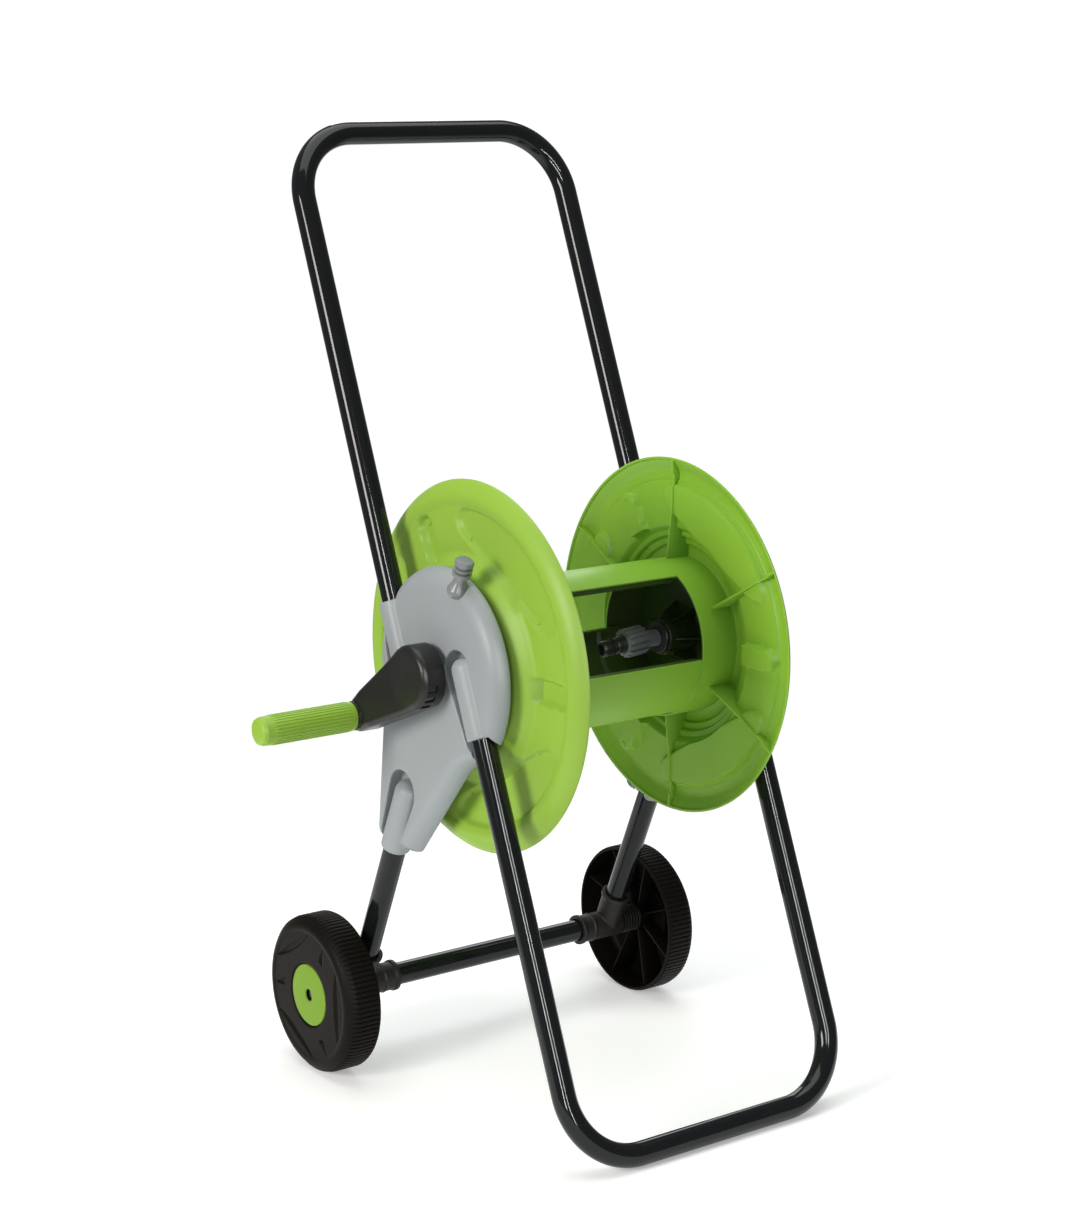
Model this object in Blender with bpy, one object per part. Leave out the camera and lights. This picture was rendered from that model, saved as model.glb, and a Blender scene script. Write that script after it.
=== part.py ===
"""Garden hose reel cart in metres, +Z up, standing on Z = 0.

The drum turns about an X axis between two side plates. The handle and the foot are bent tubes that lean
back and forward out of the plates, and two legs run down to the axle. The crank is on the -X side and the
water inlet on the +X side. Shapes are drawn in a cart frame whose X = 0 is the middle of the drum and whose
Y = 0 holds the drum's axis; the empty named cart moves that frame so that the object's box is centred.
"""

import math

import bmesh
import bpy
from mathutils import Matrix, Vector

# Clearance between pieces that touch or run on each other
GAP = 0.0003
POLE_MERGE = 1e-6
# How far a cutter runs past the surface that it cuts
PAST = 0.010

# Tubes
TUBE_RADIUS = 0.011
TUBE_WALL = 0.0012
TUBE_SIDES = 16
GAUGE_HALF = 0.1514
BEND_RADIUS = 0.066
BEND_STEPS = 5
FRAME_LEAN = math.radians(22.2)
LEG_LEAN = math.radians(23.7)

# Overall places
DRUM_AXIS_HEIGHT = 0.4139
HANDLE_HEIGHT = 0.8952
HANDLE_AXIS_Y = 0.0546
FOOT_AXIS_Y = -0.0467

# Tube sockets in the side plates, seen along X with the drum's axis as (0, 0)
SOCKET_DEPTH = 0.066
SOCKET_WALL = 0.0026
SOCKET_DOME = 0.0055
FOOT_MOUTH_DROP = 0.0474
HANDLE_MOUTH_RISE = 0.0531
LEG_MOUTH = (0.0786, -0.182)
MOUTH_NOTCH_LENGTH = 0.06
MOUTH_NOTCH_ROOM = 0.001
SLOT_NEAR = 0.004
SLOT_FAR = 0.053
SLOT_NEAR_ROOM = 0.0006
SLOT_FAR_RADIUS = TUBE_RADIUS + 0.0146
SLOT_OFFSET = 0.004

# Side plates, distances from the middle plane
PLATE_RADIUS = 0.0965
PLATE_RIM = GAUGE_HALF - 0.0099
PLATE_FILLET = 0.0175
PLATE_FACE = PLATE_RIM + PLATE_FILLET
PLATE_WALL = 0.0026
PLATE_BACK = PLATE_RIM - 0.0027
PLATE_SINK = 0.0005
CUP_WALL = 0.0018
CUP_FLOOR = PLATE_RIM + 0.0030
PLATE_NECK_ANGLE = 256
PLATE_NECK_RUN = 0.014
PLATE_BOTTOM_FRONT = (0.046, -0.182)
PLATE_BOTTOM_REAR = (0.1065, -0.179)
PLATE_BACK_NECK = (0.0940, -0.042)
PLATE_SPINE_END = (0.0755, -0.148)

# Parking nipple on the left plate
NIPPLE_ANGLE = 114.5
NIPPLE_FROM_MIDDLE = PLATE_FACE - 0.0032
NIPPLE_ROOT = 0.080
NIPPLE_BASE = 0.0885
NIPPLE_LENGTH = 0.031

# Drum
FLANGE_RADIUS = 0.1714
FLANGE_SKIN = 0.0025
FLANGE_SEGMENTS = 36
RING_SIDES = 18
PLATEAU_FACE = PLATE_BACK - 0.0028
FIELD_FACE = PLATEAU_FACE - 0.0145
FLANGE_LIP = FIELD_FACE - 0.0090
PLATEAU_RADIUS = 0.0980
BARREL_RADIUS = 0.0750
BARREL_WALL = 0.0028
COLLAR_END = FLANGE_LIP - 0.0205
RIB_COUNT = 6
RIB_THICKNESS = 0.0020
RIB_ROOT = FLANGE_LIP - 0.0040
STAVE_CENTRES = (92, 212, 332)
STAVE_HALF_ANGLE = 26
STAVE_STEPS = 8
TONGUE_DEPTH = 0.0023
TONGUE_LENGTH = 0.012
TRUNNION_RADIUS = 0.0100
TRUNNION_END = PLATE_FACE + 0.0015
LEFT_BOSS_RADIUS = 0.0150
LEFT_BOSS_END = PLATEAU_FACE - 0.0180
RIGHT_BOSS_RADIUS = 0.0175
RIGHT_BOSS_END = PLATEAU_FACE - 0.0365
BEARING_WALL = 0.0025

# Crank
CRANK_THROW = 0.0882
CRANK_ANGLE = math.radians(-33.0)
CRANK_BOSS_RADIUS = 0.0295
CRANK_TIP_RADIUS = 0.0155
CRANK_INNER = TRUNNION_END + 0.0055
CRANK_OUTER = CRANK_INNER + 0.0235
CRANK_FILLET = 0.0060
CRANK_WALL = 0.0026
CRANK_RISE = 0.0100
CRANK_RISE_START = 0.030
CRANK_SQUARE = 0.0057
CRANK_SHAFT_END = LEFT_BOSS_END + 0.0020
GRIP_RADIUS = 0.0138
GRIP_START = CRANK_OUTER + CRANK_RISE + 0.0008
GRIP_LENGTH = 0.0997
GRIP_DOME = 0.004
SPIGOT_RADIUS = 0.0060
SPIGOT_END = GRIP_START + 0.0897

# Water way on the right side
PIPE_RADIUS = 0.0062
PIPE_BORE = 0.0040
NECK_RADIUS = 0.0078
NECK_END = RIGHT_BOSS_END - 0.0295
WASHER_RADIUS = 0.0155
WASHER_THICKNESS = 0.0030
PIPE_NUT_RADIUS = 0.0092
OUTLET_TILT = math.radians(5)
OUTLET_NUT_MIDDLE = NECK_END - 0.0030
OUTLET_NUT_LENGTH = 0.0240
OUTLET_NUT_RADIUS = 0.0140
OUTLET_NUT_BORE = 0.0096
CONNECTOR_RADIUS = 0.0077
CONNECTOR_BORE = 0.0045
CONNECTOR_FLANGE = 0.0092
CONNECTOR_END = OUTLET_NUT_MIDDLE - 0.0380
SEAL_SECTION = 0.0018
SEAL_PROUD = 0.0006
ELBOW_FLOOR = 0.0025
ELBOW_INNER = TRUNNION_END + 0.0040
ELBOW_OUTER = ELBOW_INNER + 0.0260
PIPE_OUTER_END = ELBOW_OUTER - 0.0045
ELBOW_RADIUS = 0.0122
ELBOW_ARM = 0.030
ELBOW_REACH = 0.050

# Axle brackets
CROSS_TUBE_END = GAUGE_HALF - 0.0144
BRACKET_MOUTH = GAUGE_HALF - 0.0394
BRACKET_WALL = 0.0028
BRACKET_BEAD = 0.0012
BRACKET_BEAD_LENGTH = 0.0040
BRACKET_LEG_LENGTH = 0.040
BRACKET_LEG_FLOOR = TUBE_RADIUS + 0.0052
BRACKET_BODY_END = GAUGE_HALF + 0.0146
STUB_RADIUS = 0.0095
STUB_END = BRACKET_BODY_END + 0.0206
FIN_COUNT = 5
FIN_RADIUS = 0.0136
FIN_PITCH = 0.0036
FIN_THICKNESS = 0.0016

# Wheels and axle
WHEEL_RADIUS = 0.0764
WHEEL_SKIN = 0.0030
WHEEL_SHOULDER = 0.0110
WHEEL_SEGMENTS = 32
WHEEL_RIBS = 8
WHEEL_RIB_THICKNESS = 0.0018
WHEEL_HUB_RADIUS = 0.0120
WHEEL_HUB_INNER = STUB_END + 0.0004
WHEEL_HUB_OUTER = WHEEL_HUB_INNER + 0.0132
WHEEL_INNER = WHEEL_HUB_INNER - 0.0130
WHEEL_OUTER = WHEEL_HUB_OUTER + 0.0095
HUB_CAP_RADIUS = 0.0300
HUB_CAP_THICKNESS = 0.0030
HUB_CAP_HOLE = 0.0033
HUB_CAP_SINK = 0.0012
AXLE_RADIUS = 0.0040
AXLE_CAP_RADIUS = 0.0085
AXLE_CAP_LENGTH = 0.0046
AXLE_CAP_WALL = 0.0008

LEFT, RIGHT = -1, 1


def plastic(name, colour, roughness):
    """One Principled material."""
    material = bpy.data.materials.new(name)
    material.use_nodes = True
    shader = material.node_tree.nodes["Principled BSDF"]
    shader.inputs["Base Color"].default_value = (*colour, 1)
    shader.inputs["Roughness"].default_value = roughness
    material.diffuse_color = (*colour, 1)
    return material


def metal(name, colour, roughness, metallic):
    """One Principled material with metal in it."""
    material = plastic(name, colour, roughness)
    material.node_tree.nodes["Principled BSDF"].inputs["Metallic"].default_value = metallic
    return material


def empty(name, parent, location):
    """An axis or frame that pieces hang from."""
    marker = bpy.data.objects.new(name, None)
    marker.parent = parent
    marker.location = location
    marker.empty_display_size = 0.02
    bpy.context.collection.objects.link(marker)
    return marker


def finished(name, bm, parent, material, smooth=True):
    """Object from a bmesh, with its faces pointing out."""
    bmesh.ops.recalc_face_normals(bm, faces=bm.faces)
    mesh = bpy.data.meshes.new(name)
    bm.to_mesh(mesh)
    bm.free()
    if smooth:
        mesh.shade_smooth()
        mesh.set_sharp_from_angle(angle=math.radians(35))
    if material:
        mesh.materials.append(material)
    piece = bpy.data.objects.new(name, mesh)
    piece.parent = parent
    bpy.context.collection.objects.link(piece)
    return piece


def hidden(piece):
    """A cutter or a tool for a union, which is no piece of the object."""
    piece.hide_render = True
    piece.display_type = "WIRE"
    return piece


def combine(piece, operation, tool):
    """Boolean with a hidden tool."""
    modifier = piece.modifiers.new(tool.name, "BOOLEAN")
    modifier.operation = operation
    modifier.solver = "EXACT"
    modifier.object = hidden(tool)


def turned(profile, segments, start=0.0, sweep=2 * math.pi):
    """bmesh of an (x, radius) profile spun about the X axis.

    A profile that begins and ends on the axis makes a solid; any other is closed on itself.
    """
    bm = bmesh.new()
    verts = [bm.verts.new((x, radius * math.cos(start), radius * math.sin(start))) for x, radius in profile]
    edges = [bm.edges.new(pair) for pair in zip(verts, verts[1:])]
    if profile[0][1] > 0 or profile[-1][1] > 0:
        edges.append(bm.edges.new((verts[-1], verts[0])))
    full = sweep > 2 * math.pi - POLE_MERGE
    if not full:
        bm.faces.new(verts)
    done = bmesh.ops.spin(
        bm,
        geom=edges,
        cent=(0, 0, 0),
        axis=(1, 0, 0),
        angle=sweep,
        steps=segments,
        use_merge=full,
    )
    if not full:
        end_edges = [item for item in done["geom_last"] if isinstance(item, bmesh.types.BMEdge)]
        bmesh.ops.edgeloop_fill(bm, edges=end_edges)
    bmesh.ops.remove_doubles(bm, verts=bm.verts, dist=POLE_MERGE)
    return bm


def radial_rib(section, thickness, turns):
    """bmesh of a flat rib of an (x, radius) section, standing up and then turned about the X axis."""
    bm = bmesh.new()
    face = bm.faces.new([bm.verts.new((x, -thickness / 2, radius)) for x, radius in section])
    made = bmesh.ops.extrude_face_region(bm, geom=[face])["geom"]
    verts = [item for item in made if isinstance(item, bmesh.types.BMVert)]
    bmesh.ops.translate(bm, verts=verts, vec=(0, thickness, 0))
    bmesh.ops.transform(bm, matrix=Matrix.Rotation(2 * math.pi * turns, 4, "X"), verts=bm.verts)
    bmesh.ops.recalc_face_normals(bm, faces=bm.faces)
    return bm


def mirrored(profile, side):
    """An (|x|, radius) profile on one side of the middle plane."""
    return [(side * x, radius) for x, radius in profile]


def extruded(outline, start, end):
    """bmesh of a (y, z) outline extruded along X."""
    bm = bmesh.new()
    face = bm.faces.new([bm.verts.new((start, y, z)) for y, z in outline])
    moved = bmesh.ops.extrude_face_region(bm, geom=[face])["geom"]
    verts = [item for item in moved if isinstance(item, bmesh.types.BMVert)]
    bmesh.ops.translate(bm, verts=verts, vec=(end - start, 0, 0))
    return bm


def add(bm, other):
    """Copies other into bm and frees it."""
    mesh = bpy.data.meshes.new("joined")
    other.to_mesh(mesh)
    other.free()
    bm.from_mesh(mesh)
    bpy.data.meshes.remove(mesh)


def arc(centre, radius, first, last, steps):
    """Points of an arc from angle first to angle last, in radians."""
    return [
        (
            centre[0] + radius * math.cos(first + (last - first) * i / steps),
            centre[1] + radius * math.sin(first + (last - first) * i / steps),
        )
        for i in range(steps + 1)
    ]


def rounded_corner(before, corner, after, radius, steps):
    """Points of the arc that rounds one corner of an outline."""
    here = Vector(corner)
    back = (Vector(before) - here).normalized()
    on = (Vector(after) - here).normalized()
    half = back.angle(on) / 2
    shorter = min((Vector(before) - here).length, (Vector(after) - here).length)
    reach = min(radius / math.tan(half), 0.45 * shorter)
    radius = reach * math.tan(half)
    centre = here + (back + on).normalized() * radius / math.sin(half)
    first = here + back * reach - centre
    last = here + on * reach - centre
    turn = first.angle_signed(last)
    angle = math.atan2(first.y, first.x)
    return arc(centre, radius, angle, angle - turn, steps)


def hull(centre_a, radius_a, centre_b, radius_b, steps):
    """Outline around two circles, anticlockwise."""
    along = Vector(centre_b) - Vector(centre_a)
    heading = math.atan2(along.y, along.x)
    spread = math.acos((radius_a - radius_b) / along.length)
    points = arc(centre_b, radius_b, heading - spread, heading + spread, steps)
    return points + arc(centre_a, radius_a, heading + spread, heading + 2 * math.pi - spread, steps)


def circle(centre, radius, steps):
    """Outline of one circle."""
    return arc(centre, radius, 0, 2 * math.pi * (steps - 1) / steps, steps - 1)


def moved_in(point, spine, inset):
    """An outline point moved towards the nearest point of a straight spine."""
    start, end = Vector(spine[0]), Vector(spine[1])
    along = end - start
    share = max(0, min(1, (Vector(point) - start).dot(along) / along.length_squared))
    towards = start + along * share - Vector(point)
    return Vector(point) + towards.normalized() * min(inset, towards.length)


def shell(outline, spine, levels, shear=None):
    """bmesh of a dished shell: levels are (inset, x) rings, from the outer face round to the inner one."""
    bm = bmesh.new()
    rings = []
    for inset, x in levels:
        ring = []
        for point in outline:
            y, z = moved_in(point, spine, inset)
            ring.append(bm.verts.new((x + (shear(y) if shear else 0), y, z)))
        rings.append(ring)
    for ring, following in zip(rings, rings[1:]):
        for i in range(len(outline)):
            j = (i + 1) % len(outline)
            bm.faces.new((ring[i], ring[j], following[j], following[i]))
    bm.faces.new(rings[0])
    bm.faces.new(rings[-1])
    return bm


def dish_levels(side, rim, face, fillet, wall, steps):
    """Rings of a dish: a rounded outer face, the rim, and the inner face one wall behind."""
    centre = face - fillet
    outer = arc((fillet, centre), fillet, math.pi / 2, math.pi, steps)
    inner = arc((fillet, centre), fillet - wall, math.pi, math.pi / 2, steps)
    straight = [(0, rim), (wall, rim)] if centre - rim > POLE_MERGE else []
    levels = outer + straight + inner
    return [(inset, side * x) for inset, x in levels]


def swept_tube(points, normal, radius, wall, sides):
    """bmesh of a hollow tube along points in the plane that normal stands on."""
    bm = bmesh.new()
    outer, inner = [], []
    for i, point in enumerate(points):
        before = points[max(i - 1, 0)]
        after = points[min(i + 1, len(points) - 1)]
        tangent = (after - before).normalized()
        across = tangent.cross(normal)
        for rings, size in ((outer, radius), (inner, radius - wall)):
            stretch = 1
            if 0 < i < len(points) - 1:
                stretch = 1 / math.cos((point - before).angle(after - point) / 2)
            angles = [2 * math.pi * k / sides for k in range(sides)]
            rings.append(
                [
                    bm.verts.new(point + normal * size * math.cos(a) + across * size * stretch * math.sin(a))
                    for a in angles
                ]
            )
    for rings in (outer, inner):
        for ring, following in zip(rings, rings[1:]):
            for k in range(sides):
                m = (k + 1) % sides
                bm.faces.new((ring[k], ring[m], following[m], following[k]))
    for end in (0, -1):
        for k in range(sides):
            m = (k + 1) % sides
            bm.faces.new((outer[end][k], outer[end][m], inner[end][m], inner[end][k]))
    return bm


def tube_route(top, direction, length):
    """Points of a U of tube: down one side, round two bends, and down the other, in the cart frame."""
    corner = BEND_RADIUS * math.pi / 2 / BEND_STEPS
    flat = [(-GAUGE_HALF, length)]
    flat += arc((-GAUGE_HALF + BEND_RADIUS, BEND_RADIUS), BEND_RADIUS, math.pi, 1.5 * math.pi, BEND_STEPS)
    flat += arc((GAUGE_HALF - BEND_RADIUS, BEND_RADIUS), BEND_RADIUS, 1.5 * math.pi, 2 * math.pi, BEND_STEPS)
    flat += [(GAUGE_HALF, length)]
    assert corner < length
    return [top + Vector((x, 0, 0)) + direction * run for x, run in flat]


def lean_direction(angle, up):
    """Unit vector in the YZ plane that leans towards -Y going down, or +Y where up is 1."""
    return Vector((0, math.sin(angle) * up, math.cos(angle) * up))


def foot_socket():
    """Mouth and inward direction of the foot tube's socket, about the drum's axis."""
    y = FOOT_AXIS_Y - FOOT_MOUTH_DROP * math.tan(FRAME_LEAN)
    return Vector((y, -FOOT_MOUTH_DROP)), Vector((math.sin(FRAME_LEAN), math.cos(FRAME_LEAN)))


def handle_socket():
    """Mouth and inward direction of the handle tube's socket, about the drum's axis."""
    y = HANDLE_AXIS_Y + HANDLE_MOUTH_RISE * math.tan(FRAME_LEAN)
    return Vector((y, HANDLE_MOUTH_RISE)), Vector((-math.sin(FRAME_LEAN), -math.cos(FRAME_LEAN)))


def leg_socket():
    """Mouth and inward direction of the leg's socket, about the drum's axis."""
    return Vector(LEG_MOUTH), Vector((-math.sin(LEG_LEAN), math.cos(LEG_LEAN)))


def sockets():
    return foot_socket(), handle_socket(), leg_socket()


def axle_place():
    """(y, z) of the axle in the cart frame: on the leg's line, one wheel radius above the ground."""
    mouth_height = DRUM_AXIS_HEIGHT + LEG_MOUTH[1]
    return LEG_MOUTH[0] + (mouth_height - WHEEL_RADIUS) * math.tan(LEG_LEAN), WHEEL_RADIUS


def handle_top():
    """Centre of the handle's top bar in the cart frame."""
    z = HANDLE_HEIGHT - TUBE_RADIUS
    return Vector((0, HANDLE_AXIS_Y + (z - DRUM_AXIS_HEIGHT) * math.tan(FRAME_LEAN), z))


def foot_bar():
    """Centre of the foot's ground bar in the cart frame."""
    z = TUBE_RADIUS
    return Vector((0, FOOT_AXIS_Y - (DRUM_AXIS_HEIGHT - z) * math.tan(FRAME_LEAN), z))


def seat_in_socket(socket):
    """Where a tube ends inside its socket, in the cart frame."""
    mouth, inward = socket
    end = mouth + inward * (SOCKET_DEPTH - GAP)
    return Vector((0, end.x, DRUM_AXIS_HEIGHT + end.y))


def placed_along(bm, start, direction):
    """Turns a shape drawn along +X to run along a (y, z) direction from a start point."""
    heading = math.atan2(direction[1], direction[0])
    turn = Matrix.Rotation(heading, 4, "X") @ Matrix.Rotation(math.pi / 2, 4, "Z")
    bmesh.ops.transform(bm, matrix=Matrix.Translation(start) @ turn, verts=bm.verts)
    return bm


def make_handle(parent, material):
    top = handle_top()
    down = -lean_direction(FRAME_LEAN, 1)
    length = (top - seat_in_socket(handle_socket())).length
    normal = Vector((1, 0, 0)).cross(down)
    bm = swept_tube(tube_route(top, down, length), normal, TUBE_RADIUS, TUBE_WALL, TUBE_SIDES)
    return finished("handle_tube", bm, parent, material)


def make_foot(parent, material):
    bar = foot_bar()
    up = lean_direction(FRAME_LEAN, 1)
    length = (bar - seat_in_socket(foot_socket())).length
    normal = Vector((1, 0, 0)).cross(up)
    bm = swept_tube(tube_route(bar, up, length), normal, TUBE_RADIUS, TUBE_WALL, TUBE_SIDES)
    return finished("foot_tube", bm, parent, material)


def straight_tube(start, end):
    """Hollow tube profile along X."""
    bore = TUBE_RADIUS - TUBE_WALL
    return [(start, bore), (start, TUBE_RADIUS), (end, TUBE_RADIUS), (end, bore)]


def make_leg(side, parent, material):
    """Leg tube, with its origin on the axle's line."""
    axle_y, axle_z = axle_place()
    top = seat_in_socket(leg_socket())
    length = math.hypot(top.y - axle_y, top.z - axle_z)
    bm = turned(straight_tube(BRACKET_LEG_FLOOR + GAP, length), TUBE_SIDES)
    placed_along(bm, Vector((side * GAUGE_HALF, 0, 0)), (-math.sin(LEG_LEAN), math.cos(LEG_LEAN)))
    return finished("leg_tube_left" if side == LEFT else "leg_tube_right", bm, parent, material)


def plate_outline():
    """(y, z) outline of a side plate about the drum's axis, anticlockwise from the rear."""
    end = math.radians(PLATE_NECK_ANGLE)
    points = arc((0, 0), PLATE_RADIUS, 0, end, 28)
    leave = Vector(points[-1])
    tangent = Vector((-math.sin(end), math.cos(end)))
    neck = leave + tangent * PLATE_NECK_RUN
    corners = [tuple(leave), tuple(neck), PLATE_BOTTOM_FRONT, PLATE_BOTTOM_REAR, PLATE_BACK_NECK, points[0]]
    for i, radius in ((1, 0.03), (2, 0.012), (3, 0.014), (4, 0.09)):
        points += rounded_corner(corners[i - 1], corners[i], corners[i + 1], radius, 4)
    return points


def slot_outline(socket, grown):
    """Outline of the rounded recess around a socket, wider at its far end and set to the rear."""
    mouth, inward = socket
    rear = Vector((inward.y, -inward.x))
    if rear.x < 0:
        rear = -rear
    near = mouth + inward * SLOT_NEAR
    far = mouth + inward * SLOT_FAR + rear * SLOT_OFFSET
    near_radius = TUBE_RADIUS + GAP + SOCKET_WALL + SLOT_NEAR_ROOM + grown
    return hull(far, SLOT_FAR_RADIUS + grown, near, near_radius, 9)


def socket_solids(side):
    """The three domed tube sockets and the bearing sleeve."""
    radius = TUBE_RADIUS + GAP + SOCKET_WALL
    length = SOCKET_DEPTH + SOCKET_WALL
    profile = [(0, 0), (0, radius), (length, radius)]
    profile += [(length + SOCKET_DOME * 0.7, radius * 0.8), (length + SOCKET_DOME, radius * 0.4)]
    profile += [(length + SOCKET_DOME, 0)]
    bm = bmesh.new()
    for mouth, inward in sockets():
        part = turned(profile, TUBE_SIDES)
        add(bm, placed_along(part, Vector((side * GAUGE_HALF, mouth.x, mouth.y)), inward))
    sleeve = TRUNNION_RADIUS + GAP + BEARING_WALL
    first = PLATEAU_FACE + GAP
    last = PLATE_FACE - PLATE_SINK
    add(bm, turned(mirrored([(first, 0), (first, sleeve), (last, sleeve), (last, 0)], side), 24))
    return bm


def socket_bores(side):
    """The tubes' bores, wider beyond each mouth so that the plate's edge clears the tube, and the bearing."""
    bore = TUBE_RADIUS + GAP
    wide = bore + SOCKET_WALL + MOUTH_NOTCH_ROOM
    profile = [(-MOUTH_NOTCH_LENGTH, 0), (-MOUTH_NOTCH_LENGTH, wide), (0, wide)]
    profile += [(0, bore), (SOCKET_DEPTH, bore), (SOCKET_DEPTH, 0)]
    bm = bmesh.new()
    for mouth, inward in sockets():
        part = turned(profile, TUBE_SIDES)
        add(bm, placed_along(part, Vector((side * GAUGE_HALF, mouth.x, mouth.y)), inward))
    bearing = TRUNNION_RADIUS + GAP
    first = PLATEAU_FACE - PAST
    last = PLATE_FACE + PAST
    add(bm, turned(mirrored([(first, 0), (first, bearing), (last, bearing), (last, 0)], side), 24))
    return bm


def connector_profile(start, end, root):
    """Outside of a click-on hose connector, from its root to its mouth: neck, grooves and a rounded lip."""
    run = end - start
    steps = (
        (0.00, root),
        (0.30, root),
        (0.34, CONNECTOR_RADIUS),
        (0.50, CONNECTOR_RADIUS),
        (0.50, CONNECTOR_RADIUS - SEAL_SECTION / 2),
        (0.60, CONNECTOR_RADIUS - SEAL_SECTION / 2),
        (0.60, CONNECTOR_RADIUS),
        (0.92, CONNECTOR_RADIUS),
        (1.00, CONNECTOR_RADIUS - 0.0012),
    )
    return [(start + run * share, radius) for share, radius in steps]


def parking_nipple(side):
    """The hose-end parking nipple, standing out from the plate's rounded edge."""
    head = 0.0088
    profile = [
        (NIPPLE_ROOT, 0),
        (NIPPLE_ROOT, 0.0062),
        (NIPPLE_BASE - 0.001, 0.0062),
        (NIPPLE_BASE - 0.001, 0.0100),
        (NIPPLE_BASE + 0.001, 0.0100),
        (NIPPLE_BASE + 0.004, 0.0066),
        (NIPPLE_BASE + NIPPLE_LENGTH * 0.48, 0.0066),
        (NIPPLE_BASE + NIPPLE_LENGTH * 0.52, head),
        (NIPPLE_BASE + NIPPLE_LENGTH * 0.95, head),
        (NIPPLE_BASE + NIPPLE_LENGTH, head - 0.0015),
        (NIPPLE_BASE + NIPPLE_LENGTH, 0),
    ]
    bm = turned(profile, TUBE_SIDES)
    angle = math.radians(NIPPLE_ANGLE)
    return placed_along(bm, Vector((side * NIPPLE_FROM_MIDDLE, 0, 0)), (math.cos(angle), math.sin(angle)))


def make_side_plate(side, parent, material):
    """Dished plate with three tube sockets in rounded recesses and a bearing for the drum."""
    name = "side_plate_left" if side == LEFT else "side_plate_right"
    outline = plate_outline()
    spine = ((0, 0), PLATE_SPINE_END)
    levels = dish_levels(side, PLATE_RIM, PLATE_FACE, PLATE_FILLET, PLATE_WALL, 3)
    piece = finished(name, shell(outline, spine, levels), parent, material)
    middle = PLATE_FILLET - PLATE_WALL / 2
    inside = arc((PLATE_FILLET, PLATE_RIM), middle, math.pi / 2, math.pi, 3)
    inside = [(inset, side * x) for inset, x in inside]
    block = finished(name + "_block", shell(outline, spine, inside), parent, None)
    cups = bmesh.new()
    slots = bmesh.new()
    for socket in sockets():
        top = PLATE_FACE - PLATE_SINK
        add(cups, extruded(slot_outline(socket, CUP_WALL), side * (CUP_FLOOR - CUP_WALL), side * top))
        add(slots, extruded(slot_outline(socket, 0), side * CUP_FLOOR, side * (PLATE_FACE + PAST)))
    cup = finished(name + "_cups", cups, parent, None)
    combine(cup, "INTERSECT", block)
    combine(piece, "UNION", cup)
    combine(piece, "DIFFERENCE", finished(name + "_slots", slots, parent, None))
    combine(piece, "UNION", finished(name + "_sockets", socket_solids(side), parent, None))
    if side == LEFT:
        combine(piece, "UNION", finished(name + "_nipple", parking_nipple(side), parent, None))
    combine(piece, "DIFFERENCE", finished(name + "_bores", socket_bores(side), parent, None))
    reach = 4 * PLATE_RADIUS
    room = [(-reach, -reach), (reach, -reach), (reach, reach), (-reach, reach)]
    keep = finished(name + "_back", extruded(room, side * FIELD_FACE, side * PLATE_BACK), parent, None)
    sleeve = TRUNNION_RADIUS + GAP + BEARING_WALL + GAP
    hole = [(FLANGE_LIP, 0), (FLANGE_LIP, sleeve), (PLATE_RIM + 0.01, sleeve), (PLATE_RIM + 0.01, 0)]
    room = finished(name + "_sleeve_room", turned(mirrored(hole, side), 24), parent, None)
    combine(keep, "DIFFERENCE", room)
    combine(piece, "DIFFERENCE", keep)
    return piece


def flange_profile(side):
    """Closed (|x|, radius) section of a flange: hub, plateau, field, rolled rim, well and barrel collar."""
    skin = FLANGE_SKIN
    inner_field = FIELD_FACE - skin
    inner_plateau = PLATEAU_FACE - skin
    rim = FLANGE_RADIUS
    outside = [
        (TRUNNION_END, TRUNNION_RADIUS),
        (PLATEAU_FACE, TRUNNION_RADIUS),
        (PLATEAU_FACE, PLATEAU_RADIUS),
        (PLATEAU_FACE - 0.002, PLATEAU_RADIUS + 0.002),
        (FIELD_FACE + 0.002, PLATEAU_RADIUS + 0.005),
        (FIELD_FACE, PLATEAU_RADIUS + 0.008),
        (FIELD_FACE, rim - 0.021),
        (FIELD_FACE - 0.0015, rim - 0.009),
        (FIELD_FACE - 0.0045, rim),
    ]
    inside = [
        (FLANGE_LIP, rim),
        (FLANGE_LIP, rim - skin),
        (inner_field - 0.0035, rim - skin),
        (inner_field - 0.0010, rim - 0.0115),
        (inner_field, rim - 0.022),
        (inner_field, PLATEAU_RADIUS + 0.007),
        (inner_field + 0.002, PLATEAU_RADIUS + 0.003),
        (inner_plateau - 0.002, PLATEAU_RADIUS),
        (inner_plateau, PLATEAU_RADIUS - 0.002),
        (inner_plateau, BARREL_RADIUS),
        (COLLAR_END, BARREL_RADIUS),
        (COLLAR_END, BARREL_RADIUS - BARREL_WALL),
        (inner_plateau, BARREL_RADIUS - BARREL_WALL),
    ]
    if side == LEFT:
        hub = [(inner_plateau, LEFT_BOSS_RADIUS), (LEFT_BOSS_END, LEFT_BOSS_RADIUS), (LEFT_BOSS_END, 0)]
        outside.insert(0, (TRUNNION_END, 0))
        return outside + inside + hub
    bore = PIPE_RADIUS + GAP
    hub = [(inner_plateau, RIGHT_BOSS_RADIUS), (RIGHT_BOSS_END, RIGHT_BOSS_RADIUS), (RIGHT_BOSS_END, bore)]
    return outside + inside + hub + [(TRUNNION_END, bore)]


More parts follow.
